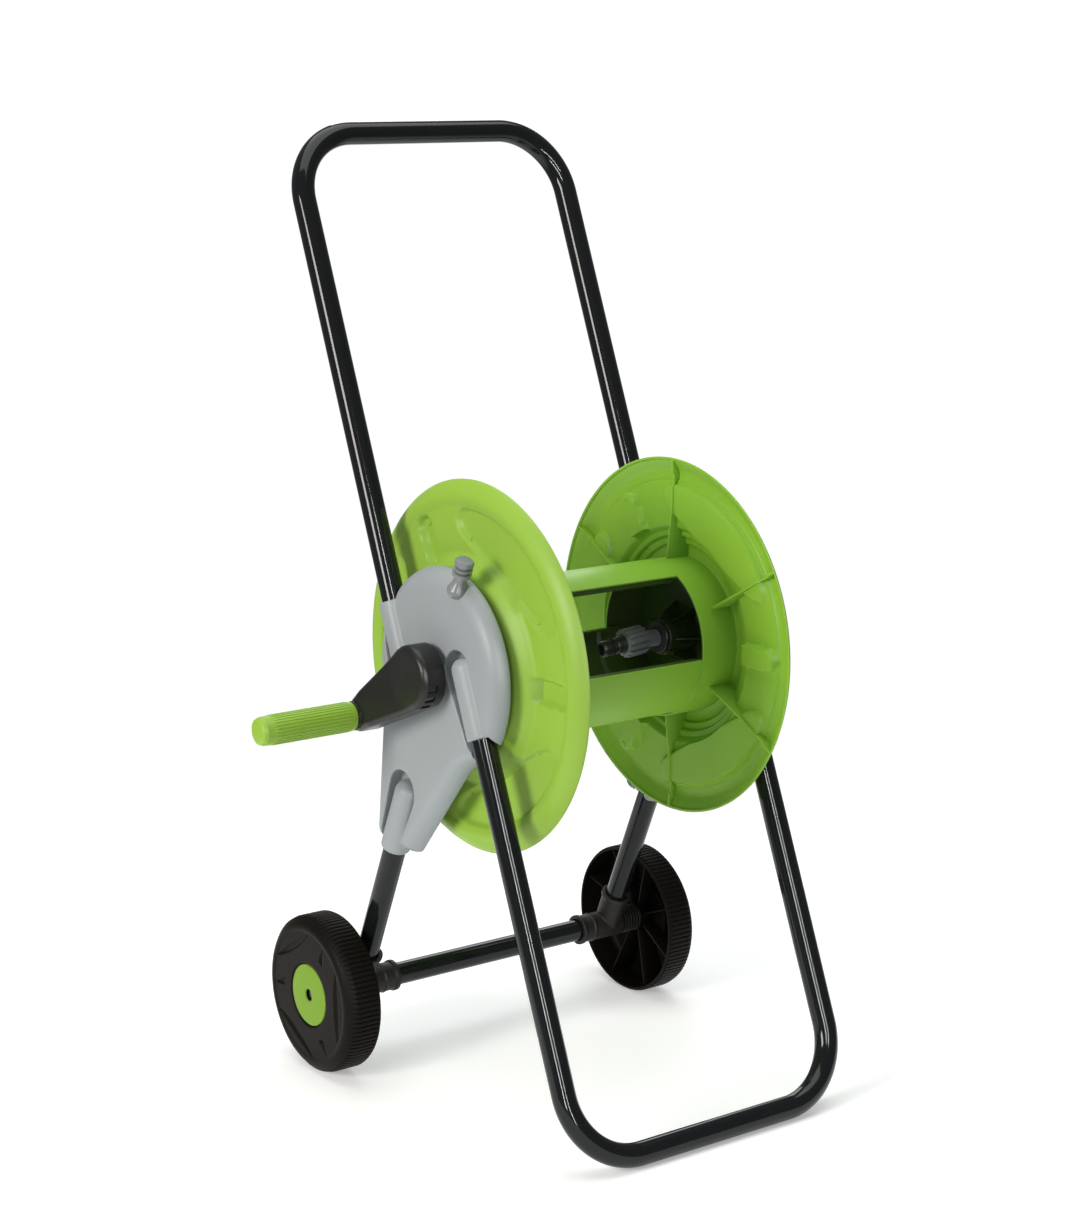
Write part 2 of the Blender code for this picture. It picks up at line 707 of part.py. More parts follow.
def rib_section():
    """(|x|, radius) section of one radial rib, with its back inside the flange's skin."""
    skin = FLANGE_SKIN
    back_field = FIELD_FACE - skin * 0.5
    back_plateau = PLATEAU_FACE - skin * 0.5
    rim = FLANGE_RADIUS
    return [
        (RIB_ROOT, BARREL_RADIUS - BARREL_WALL * 0.5),
        (FLANGE_LIP + 0.0004, rim - skin * 0.5),
        (FIELD_FACE - 0.0055, rim - skin * 0.6),
        (back_field - 0.0015, rim - 0.0105),
        (back_field, rim - 0.0215),
        (back_field, PLATEAU_RADIUS + 0.0075),
        (back_field + 0.0020, PLATEAU_RADIUS + 0.0040),
        (back_plateau - 0.0020, PLATEAU_RADIUS + 0.0010),
        (back_plateau, PLATEAU_RADIUS - 0.0010),
        (back_plateau, BARREL_RADIUS - BARREL_WALL * 0.5),
    ]


def flange_ribs(side):
    """Radial ribs between the barrel's collar and the rim, one of them straight up."""
    bm = bmesh.new()
    for i in range(RIB_COUNT):
        add(bm, radial_rib(mirrored(rib_section(), side), RIB_THICKNESS, i / RIB_COUNT))
    return bm


def make_flange(side, parent, material):
    """Thin moulded flange with its barrel collar and its trunnion."""
    name = "flange_left" if side == LEFT else "flange_right"
    bm = turned(mirrored(flange_profile(side), side), FLANGE_SEGMENTS, start=math.pi / 2)
    piece = finished(name, bm, parent, material)
    combine(piece, "UNION", finished(name + "_ribs", flange_ribs(side), parent, None))
    if side == LEFT:
        half = CRANK_SQUARE + GAP
        square = [(-half, -half), (half, -half), (half, half), (-half, half)]
        reach = extruded(square, -(TRUNNION_END + 0.01), -(LEFT_BOSS_END - 0.01))
        cutter = finished(name + "_socket", reach, parent, None)
        cutter.rotation_euler.x = CRANK_ANGLE
        combine(piece, "DIFFERENCE", cutter)
    return piece


def make_stave(index, parent, material):
    """One curved barrel stave, with tongues that reach under the flanges' collars."""
    end = COLLAR_END - GAP
    outer = BARREL_RADIUS
    flat = math.cos(math.pi / FLANGE_SEGMENTS)
    under = (BARREL_RADIUS - BARREL_WALL) * flat - GAP
    root = under - TONGUE_DEPTH
    tip = COLLAR_END + TONGUE_LENGTH
    half = [(end, outer), (end, under), (tip, under), (tip, root), (end - 0.010, root), (end - 0.013, under)]
    section = half + [(-x, radius) for x, radius in reversed(half)]
    start = math.radians(STAVE_CENTRES[index] - STAVE_HALF_ANGLE)
    bm = turned(section, STAVE_STEPS, start=start, sweep=math.radians(2 * STAVE_HALF_ANGLE))
    return finished(f"drum_stave_{index + 1}", bm, parent, material)


def make_crank(parent, material):
    """Hollow crank arm with a square shaft into the drum and a spigot for the grip."""
    outline = hull((0, 0), CRANK_BOSS_RADIUS, (CRANK_THROW, 0), CRANK_TIP_RADIUS, 10)
    spine = ((0, 0), (CRANK_THROW, 0))
    levels = dish_levels(LEFT, CRANK_INNER, CRANK_OUTER, CRANK_FILLET, CRANK_WALL, 3)

    def slope(y):
        run = CRANK_THROW - CRANK_TIP_RADIUS - CRANK_RISE_START
        return -CRANK_RISE * max(0, min(1, (y - CRANK_RISE_START) / run))

    piece = finished("crank_arm", shell(outline, spine, levels, slope), parent, material)
    piece.rotation_euler.x = CRANK_ANGLE
    half = CRANK_SQUARE
    square = [(-half, -half), (half, -half), (half, half), (-half, half)]
    shaft = extruded(square, -CRANK_SHAFT_END, -(CRANK_OUTER - CRANK_WALL / 2))
    root = -(CRANK_OUTER - CRANK_WALL / 2) + slope(CRANK_THROW)
    collar = GRIP_START - GAP
    spigot = turned(
        [
            (root, 0),
            (root, SPIGOT_RADIUS + 0.002),
            (-collar, SPIGOT_RADIUS + 0.002),
            (-collar, SPIGOT_RADIUS),
            (-SPIGOT_END, SPIGOT_RADIUS),
            (-SPIGOT_END, 0),
        ],
        TUBE_SIDES,
    )
    bmesh.ops.translate(spigot, verts=spigot.verts, vec=(0, CRANK_THROW, 0))
    add(shaft, spigot)
    tool = finished("crank_arm_shafts", shaft, parent, None)
    tool.rotation_euler.x = CRANK_ANGLE
    combine(piece, "UNION", tool)
    return piece


def make_grip(parent, material):
    """Blind sleeve that turns on the crank's spigot."""
    bore = SPIGOT_RADIUS + GAP
    end = GRIP_START + GRIP_LENGTH
    profile = [
        (GRIP_START, bore),
        (GRIP_START, GRIP_RADIUS - 0.001),
        (GRIP_START + 0.001, GRIP_RADIUS),
        (end - GRIP_DOME, GRIP_RADIUS - 0.0006),
        (end - GRIP_DOME * 0.3, GRIP_RADIUS - 0.002),
        (end, GRIP_RADIUS - 0.005),
        (end, 0),
    ]
    closing = [(SPIGOT_END + GAP, 0), (SPIGOT_END + GAP, bore)]
    bm = turned(mirrored(profile + closing, LEFT), 24)
    return finished("crank_grip", bm, parent, material)


def make_hub_pipe(parent, material):
    """Water pipe through the right trunnion, with a thicker neck inside the barrel."""
    neck_start = RIGHT_BOSS_END - GAP - WASHER_THICKNESS - GAP
    profile = [
        (NECK_END, PIPE_BORE),
        (NECK_END, NECK_RADIUS),
        (neck_start, NECK_RADIUS),
        (neck_start, PIPE_RADIUS),
        (PIPE_OUTER_END, PIPE_RADIUS),
        (PIPE_OUTER_END, PIPE_BORE),
    ]
    return finished("hub_pipe", turned(profile, 20), parent, material)


def make_ring(name, start, end, bore, radius, segments, parent, material):
    """A plain ring along X."""
    bm = turned([(start, bore), (start, radius), (end, radius), (end, bore)], segments)
    return finished(name, bm, parent, material)


def make_pipe_nut(parent, material):
    """Six-sided nut that draws the hub pipe against the trunnion's end."""
    start = TRUNNION_END + GAP
    end = ELBOW_INNER - GAP
    hexagon = extruded(circle((0, 0), PIPE_NUT_RADIUS, 6), start, end)
    piece = finished("hub_pipe_nut", hexagon, parent, material)
    bore = PIPE_RADIUS + GAP
    hole = turned([(start - PAST, 0), (start - PAST, bore), (end + PAST, bore), (end + PAST, 0)], RING_SIDES)
    combine(piece, "DIFFERENCE", finished("hub_pipe_nut_bore", hole, parent, None))
    return piece


def make_outlet(parent, nut_material, seal_material):
    """Ribbed coupling nut, the connector that it holds and the connector's seal, all on a slight tilt."""
    half = OUTLET_NUT_LENGTH / 2
    start = OUTLET_NUT_MIDDLE - half
    lip_end = start + 0.002
    shoulder = start + 0.0024
    profile = [
        (start, CONNECTOR_RADIUS + GAP),
        (start, OUTLET_NUT_RADIUS - 0.001),
        (start + 0.001, OUTLET_NUT_RADIUS),
        (start + OUTLET_NUT_LENGTH, OUTLET_NUT_RADIUS),
        (start + OUTLET_NUT_LENGTH, OUTLET_NUT_BORE),
        (lip_end, OUTLET_NUT_BORE),
        (lip_end, CONNECTOR_RADIUS + GAP),
    ]
    finished("outlet_nut", turned(profile, 20), parent, nut_material)
    flange_end = NECK_END - 3 * GAP - 0.001
    body = [(flange_end, CONNECTOR_BORE), (flange_end, CONNECTOR_FLANGE), (shoulder, CONNECTOR_FLANGE)]
    body += connector_profile(shoulder, CONNECTOR_END, CONNECTOR_RADIUS) + [(CONNECTOR_END, CONNECTOR_BORE)]
    finished("outlet_nipple", turned(body, 20), parent, nut_material)
    run = CONNECTOR_END - shoulder
    groove = shoulder + run * 0.55
    seal_half = abs(run) * 0.05 - GAP
    floor = CONNECTOR_RADIUS - SEAL_SECTION / 2 + GAP
    ring = (groove - seal_half, groove + seal_half, floor, CONNECTOR_RADIUS + SEAL_PROUD)
    make_ring("outlet_seal", *ring, 20, parent, seal_material)


def make_inlet(parent, material, seal_material):
    """Elbow that swivels on the hub pipe, its connector pointing down, and its seals."""
    bore = PIPE_RADIUS + GAP + SEAL_SECTION
    solid = [
        (ELBOW_INNER, 0),
        (ELBOW_INNER, ELBOW_RADIUS),
        (ELBOW_OUTER - 0.003, ELBOW_RADIUS),
        (ELBOW_OUTER, ELBOW_RADIUS - 0.003),
        (ELBOW_OUTER, 0),
    ]
    piece = finished("inlet_elbow", turned(solid, 24), parent, material)
    middle = (ELBOW_INNER + ELBOW_OUTER) / 2
    arm_outside = [(0.002, 0), (0.002, CONNECTOR_RADIUS + 0.001)]
    arm_outside += [(ELBOW_ARM - 0.004, CONNECTOR_RADIUS + 0.001)]
    arm_outside += [(ELBOW_ARM - 0.004, 0.0115), (ELBOW_ARM - 0.001, 0.0115)]
    arm_outside += connector_profile(ELBOW_ARM - 0.001, ELBOW_REACH, CONNECTOR_RADIUS - 0.0005)
    arm_outside += [(ELBOW_REACH, 0)]
    arm = placed_along(turned(arm_outside, 20), Vector((middle, 0, 0)), (0, -1))
    combine(piece, "UNION", finished("inlet_elbow_arm", arm, parent, None))
    first = ELBOW_INNER - PAST
    last = ELBOW_OUTER - ELBOW_FLOOR
    way = turned([(first, 0), (first, bore), (last, bore), (last, 0)], 20)
    combine(piece, "DIFFERENCE", finished("inlet_elbow_bore", way, parent, None))
    first = CONNECTOR_BORE
    last = ELBOW_REACH + PAST
    drop = turned([(first, 0), (first, CONNECTOR_BORE), (last, CONNECTOR_BORE), (last, 0)], 16)
    drop = placed_along(drop, Vector((middle, 0, 0)), (0, -1))
    combine(piece, "DIFFERENCE", finished("inlet_elbow_way", drop, parent, None))
    run = ELBOW_REACH - ELBOW_ARM + 0.001
    groove = ELBOW_ARM - 0.001 + run * 0.55
    half = run * 0.05 - GAP
    floor = CONNECTOR_RADIUS - SEAL_SECTION / 2 + GAP
    proud = CONNECTOR_RADIUS + SEAL_PROUD
    section = [(groove - half, floor), (groove - half, proud), (groove + half, proud), (groove + half, floor)]
    ring = turned(section, 20)
    finished("connector_seal", placed_along(ring, Vector((middle, 0, 0)), (0, -1)), parent, seal_material)
    outer = bore - GAP
    inner = PIPE_RADIUS + GAP
    starts = {"swivel_seal_inner": ELBOW_INNER + 0.0015, "swivel_seal_outer": PIPE_OUTER_END - 0.0045}
    for name, start in starts.items():
        make_ring(name, start, start + SEAL_SECTION, inner, outer, 20, parent, seal_material)
    return piece


def wheel_profile(side):
    """Closed (|x|, radius) section of a wheel: tread, rounded shoulder, face, cap pocket and hub."""
    skin = WHEEL_SKIN
    bore = AXLE_RADIUS + GAP
    pocket = WHEEL_OUTER - HUB_CAP_SINK - HUB_CAP_THICKNESS - GAP
    pocket_radius = HUB_CAP_RADIUS + GAP
    bend = (WHEEL_OUTER - WHEEL_SHOULDER, WHEEL_RADIUS - WHEEL_SHOULDER)
    shoulder = arc(bend, WHEEL_SHOULDER, math.pi / 2, 0, 4)
    under = arc(bend, WHEEL_SHOULDER - skin, 0, math.pi / 2, 3)
    outside = [(WHEEL_INNER, WHEEL_RADIUS - 0.001), (WHEEL_INNER + 0.001, WHEEL_RADIUS)] + shoulder
    face = WHEEL_OUTER - 0.0008
    outside += [(face, WHEEL_RADIUS - WHEEL_SHOULDER - 0.004), (face, pocket_radius + 0.001)]
    outside += [(face - 0.001, pocket_radius)]
    outside += [(pocket, pocket_radius), (pocket, AXLE_CAP_RADIUS + 2 * GAP)]
    outside += [(WHEEL_HUB_OUTER, AXLE_CAP_RADIUS + 2 * GAP), (WHEEL_HUB_OUTER, bore)]
    inside = [(WHEEL_HUB_INNER, bore), (WHEEL_HUB_INNER, WHEEL_HUB_RADIUS), (pocket - skin, WHEEL_HUB_RADIUS)]
    inside += [(pocket - skin, pocket_radius + skin), (face - skin, pocket_radius + skin)]
    inside += under + [(WHEEL_INNER, WHEEL_RADIUS - skin)]
    return mirrored(outside + inside, side)


def make_wheel(side, parent, material):
    """Moulded wheel, open on its inner side, with ribs from hub to tread."""
    name = "wheel_left" if side == LEFT else "wheel_right"
    piece = finished(name, turned(wheel_profile(side), WHEEL_SEGMENTS, start=math.pi / 2), parent, material)
    pocket = WHEEL_OUTER - HUB_CAP_SINK - HUB_CAP_THICKNESS - GAP
    face = WHEEL_OUTER - 0.0008
    corner = WHEEL_OUTER - WHEEL_SHOULDER
    section = [
        (WHEEL_HUB_INNER + 0.0015, WHEEL_HUB_RADIUS - 0.002),
        (WHEEL_INNER + 0.006, WHEEL_RADIUS - WHEEL_SKIN * 0.5),
        (corner, WHEEL_RADIUS - WHEEL_SKIN * 0.6),
        (face - WHEEL_SKIN * 0.5, WHEEL_RADIUS - WHEEL_SHOULDER),
        (face - WHEEL_SKIN * 0.5, HUB_CAP_RADIUS + WHEEL_SKIN),
        (pocket - WHEEL_SKIN * 0.5, HUB_CAP_RADIUS + 0.001),
        (pocket - WHEEL_SKIN * 0.5, WHEEL_HUB_RADIUS - 0.002),
    ]
    ribs = bmesh.new()
    for i in range(WHEEL_RIBS):
        add(ribs, radial_rib(mirrored(section, side), WHEEL_RIB_THICKNESS, (i + 0.5) / WHEEL_RIBS))
    combine(piece, "UNION", finished(name + "_ribs", ribs, parent, None))
    return piece


def make_hub_cap(side, parent, material):
    """Round cap with a small hole, sunk in the wheel's face."""
    name = "hub_cap_left" if side == LEFT else "hub_cap_right"
    outer = WHEEL_OUTER - HUB_CAP_SINK
    inner = outer - HUB_CAP_THICKNESS
    hollow = AXLE_CAP_RADIUS + 0.004
    profile = [
        (inner, hollow),
        (inner, HUB_CAP_RADIUS),
        (outer - 0.0008, HUB_CAP_RADIUS),
        (outer, HUB_CAP_RADIUS - 0.0012),
        (outer, HUB_CAP_HOLE),
        (outer - 0.0016, HUB_CAP_HOLE),
        (outer - 0.0016, hollow),
    ]
    cap = turned(mirrored(profile, side), WHEEL_SEGMENTS, start=math.pi / 2)
    return finished(name, cap, parent, material)


def axle_cap_start():
    return WHEEL_HUB_OUTER + GAP


def axle_end():
    """How far the axle rod reaches from the middle plane."""
    return axle_cap_start() + AXLE_CAP_LENGTH - AXLE_CAP_WALL - GAP


def make_axle_cap(side, parent, material):
    """Push-on cap that keeps the wheel on the axle rod."""
    name = "axle_cap_left" if side == LEFT else "axle_cap_right"
    start = axle_cap_start()
    end = start + AXLE_CAP_LENGTH
    bore = AXLE_RADIUS + GAP
    profile = [
        (start, bore),
        (start, AXLE_CAP_RADIUS),
        (start + 0.001, AXLE_CAP_RADIUS),
        (start + 0.0014, bore + 0.0012),
        (end, bore + 0.0012),
        (end, 0),
        (end - AXLE_CAP_WALL, 0),
        (end - AXLE_CAP_WALL, bore),
    ]
    return finished(name, ring_with_floor(profile, side), parent, material)


def ring_with_floor(profile, side):
    """Spins a section whose closed end runs to the axis: its two axis points are the ends of the line."""
    split = next(i for i, (x, radius) in enumerate(profile) if radius == 0)
    ordered = profile[split + 1 :] + profile[: split + 1]
    return turned(mirrored(ordered, side), 20)


def make_axle_rod(parent, material):
    end = axle_end()
    profile = [(-end, 0), (-end, AXLE_RADIUS), (end, AXLE_RADIUS), (end, 0)]
    return finished("axle_rod", turned(profile, 12), parent, material)


def make_bracket(side, parent, material):
    """Elbow that joins the cross tube to a leg, with a finned stub for the wheel."""
    name = "axle_bracket_left" if side == LEFT else "axle_bracket_right"
    bore = TUBE_RADIUS + GAP
    radius = bore + BRACKET_WALL
    profile = [
        (BRACKET_MOUTH, 0),
        (BRACKET_MOUTH, radius + BRACKET_BEAD),
        (BRACKET_MOUTH + BRACKET_BEAD_LENGTH, radius + BRACKET_BEAD),
        (BRACKET_MOUTH + BRACKET_BEAD_LENGTH, radius),
        (BRACKET_BODY_END, radius),
        (BRACKET_BODY_END, STUB_RADIUS),
    ]
    start = BRACKET_BODY_END + (FIN_PITCH - FIN_THICKNESS)
    for i in range(FIN_COUNT):
        first = start + i * FIN_PITCH
        profile += [(first, STUB_RADIUS), (first, FIN_RADIUS)]
        profile += [(first + FIN_THICKNESS, FIN_RADIUS), (first + FIN_THICKNESS, STUB_RADIUS)]
    profile += [(STUB_END, STUB_RADIUS), (STUB_END, 0)]
    piece = finished(name, turned(mirrored(profile, side), 20), parent, material)
    place = Vector((side * GAUGE_HALF, 0, 0))
    up = (-math.sin(LEG_LEAN), math.cos(LEG_LEAN))
    bead_start = BRACKET_LEG_LENGTH - BRACKET_BEAD_LENGTH
    sleeve = [(-0.004, 0), (-0.004, radius - 0.0007), (bead_start, radius - 0.0002)]
    sleeve += [(bead_start, radius + BRACKET_BEAD), (BRACKET_LEG_LENGTH, radius + BRACKET_BEAD)]
    sleeve += [(BRACKET_LEG_LENGTH, 0)]
    sleeve_body = placed_along(turned(sleeve, 20), place, up)
    combine(piece, "UNION", finished(name + "_sleeve", sleeve_body, parent, None))
    past = 2 * BRACKET_LEG_LENGTH
    leg_bore = [(BRACKET_LEG_FLOOR, 0), (BRACKET_LEG_FLOOR, bore), (past, bore), (past, 0)]
    leg_tool = placed_along(turned(leg_bore, TUBE_SIDES), place, up)
    combine(piece, "DIFFERENCE", finished(name + "_leg_bore", leg_tool, parent, None))
    hole = AXLE_RADIUS + GAP
    stop = CROSS_TUBE_END + GAP
    first = BRACKET_MOUTH - 0.01
    last = STUB_END + 0.01
    bores = [(first, 0), (first, bore), (stop, bore), (stop, hole), (last, hole), (last, 0)]
    bore_tool = turned(mirrored(bores, side), TUBE_SIDES)
    combine(piece, "DIFFERENCE", finished(name + "_bores", bore_tool, parent, None))
    return piece


def build():
    """The whole cart."""
    for item in list(bpy.data.objects):
        bpy.data.objects.remove(item)

    green = plastic("lime_plastic", (0.33, 0.62, 0.03), 0.38)
    grey = plastic("grey_plastic", (0.36, 0.38, 0.40), 0.45)
    black = plastic("black_plastic", (0.018, 0.016, 0.015), 0.40)
    wheel_black = plastic("wheel_plastic", (0.030, 0.025, 0.023), 0.55)
    fitting = plastic("fitting_plastic", (0.09, 0.09, 0.10), 0.40)
    seal = plastic("seal_rubber", (0.015, 0.015, 0.015), 0.7)
    coat = metal("black_coated_tube", (0.012, 0.012, 0.013), 0.18, 0.3)
    steel = metal("bright_steel", (0.55, 0.56, 0.57), 0.35, 1.0)

    axle_y, axle_z = axle_place()
    right_end = WHEEL_OUTER
    left_end = GRIP_START + GRIP_LENGTH
    rear = max(handle_top().y + TUBE_RADIUS, axle_y + WHEEL_RADIUS)
    front = foot_bar().y - TUBE_RADIUS
    cart = empty("cart", None, ((left_end - right_end) / 2, -(rear + front) / 2, 0))
    drum_axis = empty("drum_axis", cart, (0, 0, DRUM_AXIS_HEIGHT))
    axle_line = empty("axle_line", cart, (0, axle_y, axle_z))
    grip_axis = empty(
        "grip_axis",
        drum_axis,
        (0, CRANK_THROW * math.cos(CRANK_ANGLE), CRANK_THROW * math.sin(CRANK_ANGLE)),
    )
    outlet_axis = empty("outlet_axis", drum_axis, (OUTLET_NUT_MIDDLE, 0, 0))
    outlet_axis.rotation_euler.y = -OUTLET_TILT
    outlet_frame = empty("outlet_frame", outlet_axis, (-OUTLET_NUT_MIDDLE, 0, 0))

    make_handle(cart, coat)
    make_foot(cart, coat)
    end = CROSS_TUBE_END
    finished("cross_tube", turned(straight_tube(-end, end), TUBE_SIDES), axle_line, coat)
    make_axle_rod(axle_line, steel)
    for side in (LEFT, RIGHT):
        make_leg(side, axle_line, coat)
        make_side_plate(side, drum_axis, grey)
        make_bracket(side, axle_line, black)
        make_axle_cap(side, axle_line, steel)
        make_wheel(side, axle_line, wheel_black)
        make_hub_cap(side, axle_line, green)
        make_flange(side, drum_axis, green)
    for index in range(len(STAVE_CENTRES)):
        make_stave(index, drum_axis, green)
    make_crank(drum_axis, black)
    make_grip(grip_axis, green)
    make_hub_pipe(drum_axis, fitting)
    washer_end = RIGHT_BOSS_END - GAP
    washer_start = washer_end - WASHER_THICKNESS
    washer_bore = PIPE_RADIUS + GAP
    make_ring("outlet_washer", washer_start, washer_end, washer_bore, WASHER_RADIUS, 24, drum_axis, fitting)
    make_pipe_nut(drum_axis, fitting)
    make_outlet(outlet_frame, fitting, seal)
    make_inlet(drum_axis, fitting, seal)


build()
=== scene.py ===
import math

import bmesh
import bpy
from mathutils import Matrix, Vector


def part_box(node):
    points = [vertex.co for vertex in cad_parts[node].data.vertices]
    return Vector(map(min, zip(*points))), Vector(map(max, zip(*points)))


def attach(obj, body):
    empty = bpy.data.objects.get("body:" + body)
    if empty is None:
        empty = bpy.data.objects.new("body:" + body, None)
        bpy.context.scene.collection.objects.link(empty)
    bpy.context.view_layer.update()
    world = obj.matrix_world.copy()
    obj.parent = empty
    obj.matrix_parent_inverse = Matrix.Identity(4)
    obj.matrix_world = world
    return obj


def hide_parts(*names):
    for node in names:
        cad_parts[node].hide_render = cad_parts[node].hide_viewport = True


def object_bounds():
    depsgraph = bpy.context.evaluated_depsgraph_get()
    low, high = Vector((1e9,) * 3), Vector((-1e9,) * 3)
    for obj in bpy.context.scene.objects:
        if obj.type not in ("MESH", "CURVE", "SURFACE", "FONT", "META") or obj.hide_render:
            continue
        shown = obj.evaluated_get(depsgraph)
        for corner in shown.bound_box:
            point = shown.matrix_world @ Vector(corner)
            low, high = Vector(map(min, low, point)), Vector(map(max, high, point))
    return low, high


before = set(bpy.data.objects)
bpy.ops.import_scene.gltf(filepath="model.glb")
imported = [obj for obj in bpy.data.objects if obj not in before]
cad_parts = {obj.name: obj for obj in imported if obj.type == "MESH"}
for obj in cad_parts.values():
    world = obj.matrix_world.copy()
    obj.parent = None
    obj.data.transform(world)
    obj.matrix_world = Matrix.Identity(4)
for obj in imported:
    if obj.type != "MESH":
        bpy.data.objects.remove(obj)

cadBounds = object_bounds()
print("frame loaded:", len(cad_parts), "nodes")


# ---- places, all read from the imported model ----

def middle(node):
    low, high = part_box(node)
    return (low + high) / 2


cartX = middle("axle_rod").x
drumCentre = Vector((cartX, middle("hub_pipe").y, middle("hub_pipe").z))
axleCentre = Vector((cartX, middle("axle_rod").y, middle("axle_rod").z))
gripCentre = Vector((cartX, middle("crank_grip").y, middle("crank_grip").z))
leftSide, rightSide = -1, 1
words = {leftSide: "left", rightSide: "right"}
tau = 2 * math.pi


# ---- shader maths ----

class Wire:
    # a socket that can be used in sums
    def __init__(self, graph, socket):
        self.graph = graph
        self.socket = socket

    def calc(self, operation, first, second):
        return self.graph.node("ShaderNodeMath", {"operation": operation}, {0: first, 1: second})

    def __add__(self, other):
        return self.calc("ADD", self, other)

    def __sub__(self, other):
        return self.calc("SUBTRACT", self, other)

    def __mul__(self, other):
        return self.calc("MULTIPLY", self, other)

    def __rsub__(self, other):
        return self.calc("SUBTRACT", other, self)

    __radd__ = __add__
    __rmul__ = __mul__


class Graph:
    # the nodes of one material around its Principled shader
    def __init__(self, name):
        self.material = bpy.data.materials.new(name)
        self.material.use_nodes = True
        self.nodes = self.material.node_tree.nodes
        self.links = self.material.node_tree.links
        self.shader = self.nodes["Principled BSDF"]
        self.coords = self.node("ShaderNodeTexCoord", {}, {}, "Object")

    def node(self, kind, settings, sockets, output=0):
        made = self.nodes.new(kind)
        for key, value in settings.items():
            setattr(made, key, value)
        for key, value in sockets.items():
            self.put(made.inputs[key], value)
        return Wire(self, made.outputs[output])

    def put(self, socket, value):
        if isinstance(value, Wire):
            self.links.new(value.socket, socket)
        else:
            socket.default_value = value

    def mix(self, factor, first, second):
        first, second = [tone if isinstance(tone, Wire) else (*tone, 1) for tone in (first, second)]
        return self.node("ShaderNodeMix", {"data_type": "RGBA"}, {0: factor, 6: first, 7: second}, 2)

    def outsideDrum(self, radius, edge=0.0006):
        # 0 within a radius of the drum's axis, 1 past it; used as the mask of the painted shade inside
        # the barrel
        across = self.node(
            "ShaderNodeVectorMath", {"operation": "SUBTRACT"}, {0: self.coords, 1: drumCentre}
        )
        flat = self.node("ShaderNodeVectorMath", {"operation": "MULTIPLY"}, {0: across, 1: (0, 1, 1)})
        away = self.node("ShaderNodeVectorMath", {"operation": "LENGTH"}, {0: flat}, "Value")
        ends = {0: away, 1: radius - edge, 2: radius + edge, 3: 0.0, 4: 1.0}
        return self.node("ShaderNodeMapRange", {"interpolation_type": "SMOOTHSTEP"}, ends)

    def cloud(self, scale, detail=2.0, stretch=(1, 1, 1)):
        # soft noise over the piece
        where = self.node("ShaderNodeMapping", {}, {"Vector": self.coords, "Scale": stretch})
        return self.node("ShaderNodeTexNoise", {}, {"Vector": where, "Scale": scale, "Detail": detail})

    def set(self, **values):
        for key, value in values.items():
            self.put(self.shader.inputs[key.replace("_", " ")], value)

    def relief(self, height, distance, strength=1.0):
        bump = self.node(
            "ShaderNodeBump", {}, {"Strength": strength, "Distance": distance, "Height": height}
        )
        self.put(self.shader.inputs["Normal"], bump)


moulding = {
    "flowScale": 14, "flowStretch": (1, 5, 1), "flowShare": 0.3, "driftGloss": 0.10, "ior": 1.49,
    "grainScale": 1500, "grainGloss": 0.10, "grainDepth": 0.00002,
}


def mouldedPlastic(name, look):
    # injection-moulded plastic: slow colour drift, a fine spark-eroded grain, faint flow marks; a look
    # with a core colour also gets painted shade inside the drum's barrel
    look = {**moulding, **look}
    g = Graph(name)
    drift = g.cloud(look["driftScale"], 3.0)
    grain = g.cloud(look["grainScale"], 1.0)
    flow = g.cloud(look["flowScale"], 2.0, look["flowStretch"]) * look["flowShare"]
    colour = g.mix(drift * (1 - look["flowShare"]) + flow, look["dark"], look["light"])
    if "core" in look:
        # painted shade: within the barrel's radius the colour turns to the core colour, standing in for
        # the shade that falls inside the barrel
        colour = g.mix(1 - g.outsideDrum(look["coreRadius"]), colour, look["core"])
    gloss = (drift - 0.5) * look["driftGloss"] + (grain - 0.5) * look["grainGloss"]
    g.set(Base_Color=colour, Roughness=look["roughness"] + gloss)
    g.set(IOR=look["ior"], Specular_IOR_Level=look["specular"])
    g.relief(grain + flow, look["grainDepth"])
    return g.material


def powderCoat(name, look):
    # gloss black coat over steel tube, with a little orange peel
    g = Graph(name)
    drift = g.cloud(look["driftScale"])
    g.set(Base_Color=g.mix(drift, look["dark"], look["light"]))
    g.set(
        Roughness=look["roughness"] + (drift - 0.5) * look["driftGloss"],
        Specular_IOR_Level=look["specular"]
    )
    g.set(Coat_Weight=look["coat"], Coat_Roughness=look["coatRoughness"], Coat_IOR=look["coatIor"])
    g.relief(g.cloud(look["peelScale"], 1.5), look["peelDepth"])
    return g.material


def zincSteel(name, look):
    # rolled and zinc-plated steel, brushed round the axle
    g = Graph(name)
    brush = g.cloud(look["brushScale"], 2.0, look["brushStretch"])
    g.set(Base_Color=g.mix(g.cloud(look["cloudScale"]), look["dark"], look["light"]), Metallic=1.0)
    g.set(Roughness=look["roughness"] + (brush - 0.5) * look["brushGloss"])
    g.relief(brush, look["brushDepth"])
    return g.material


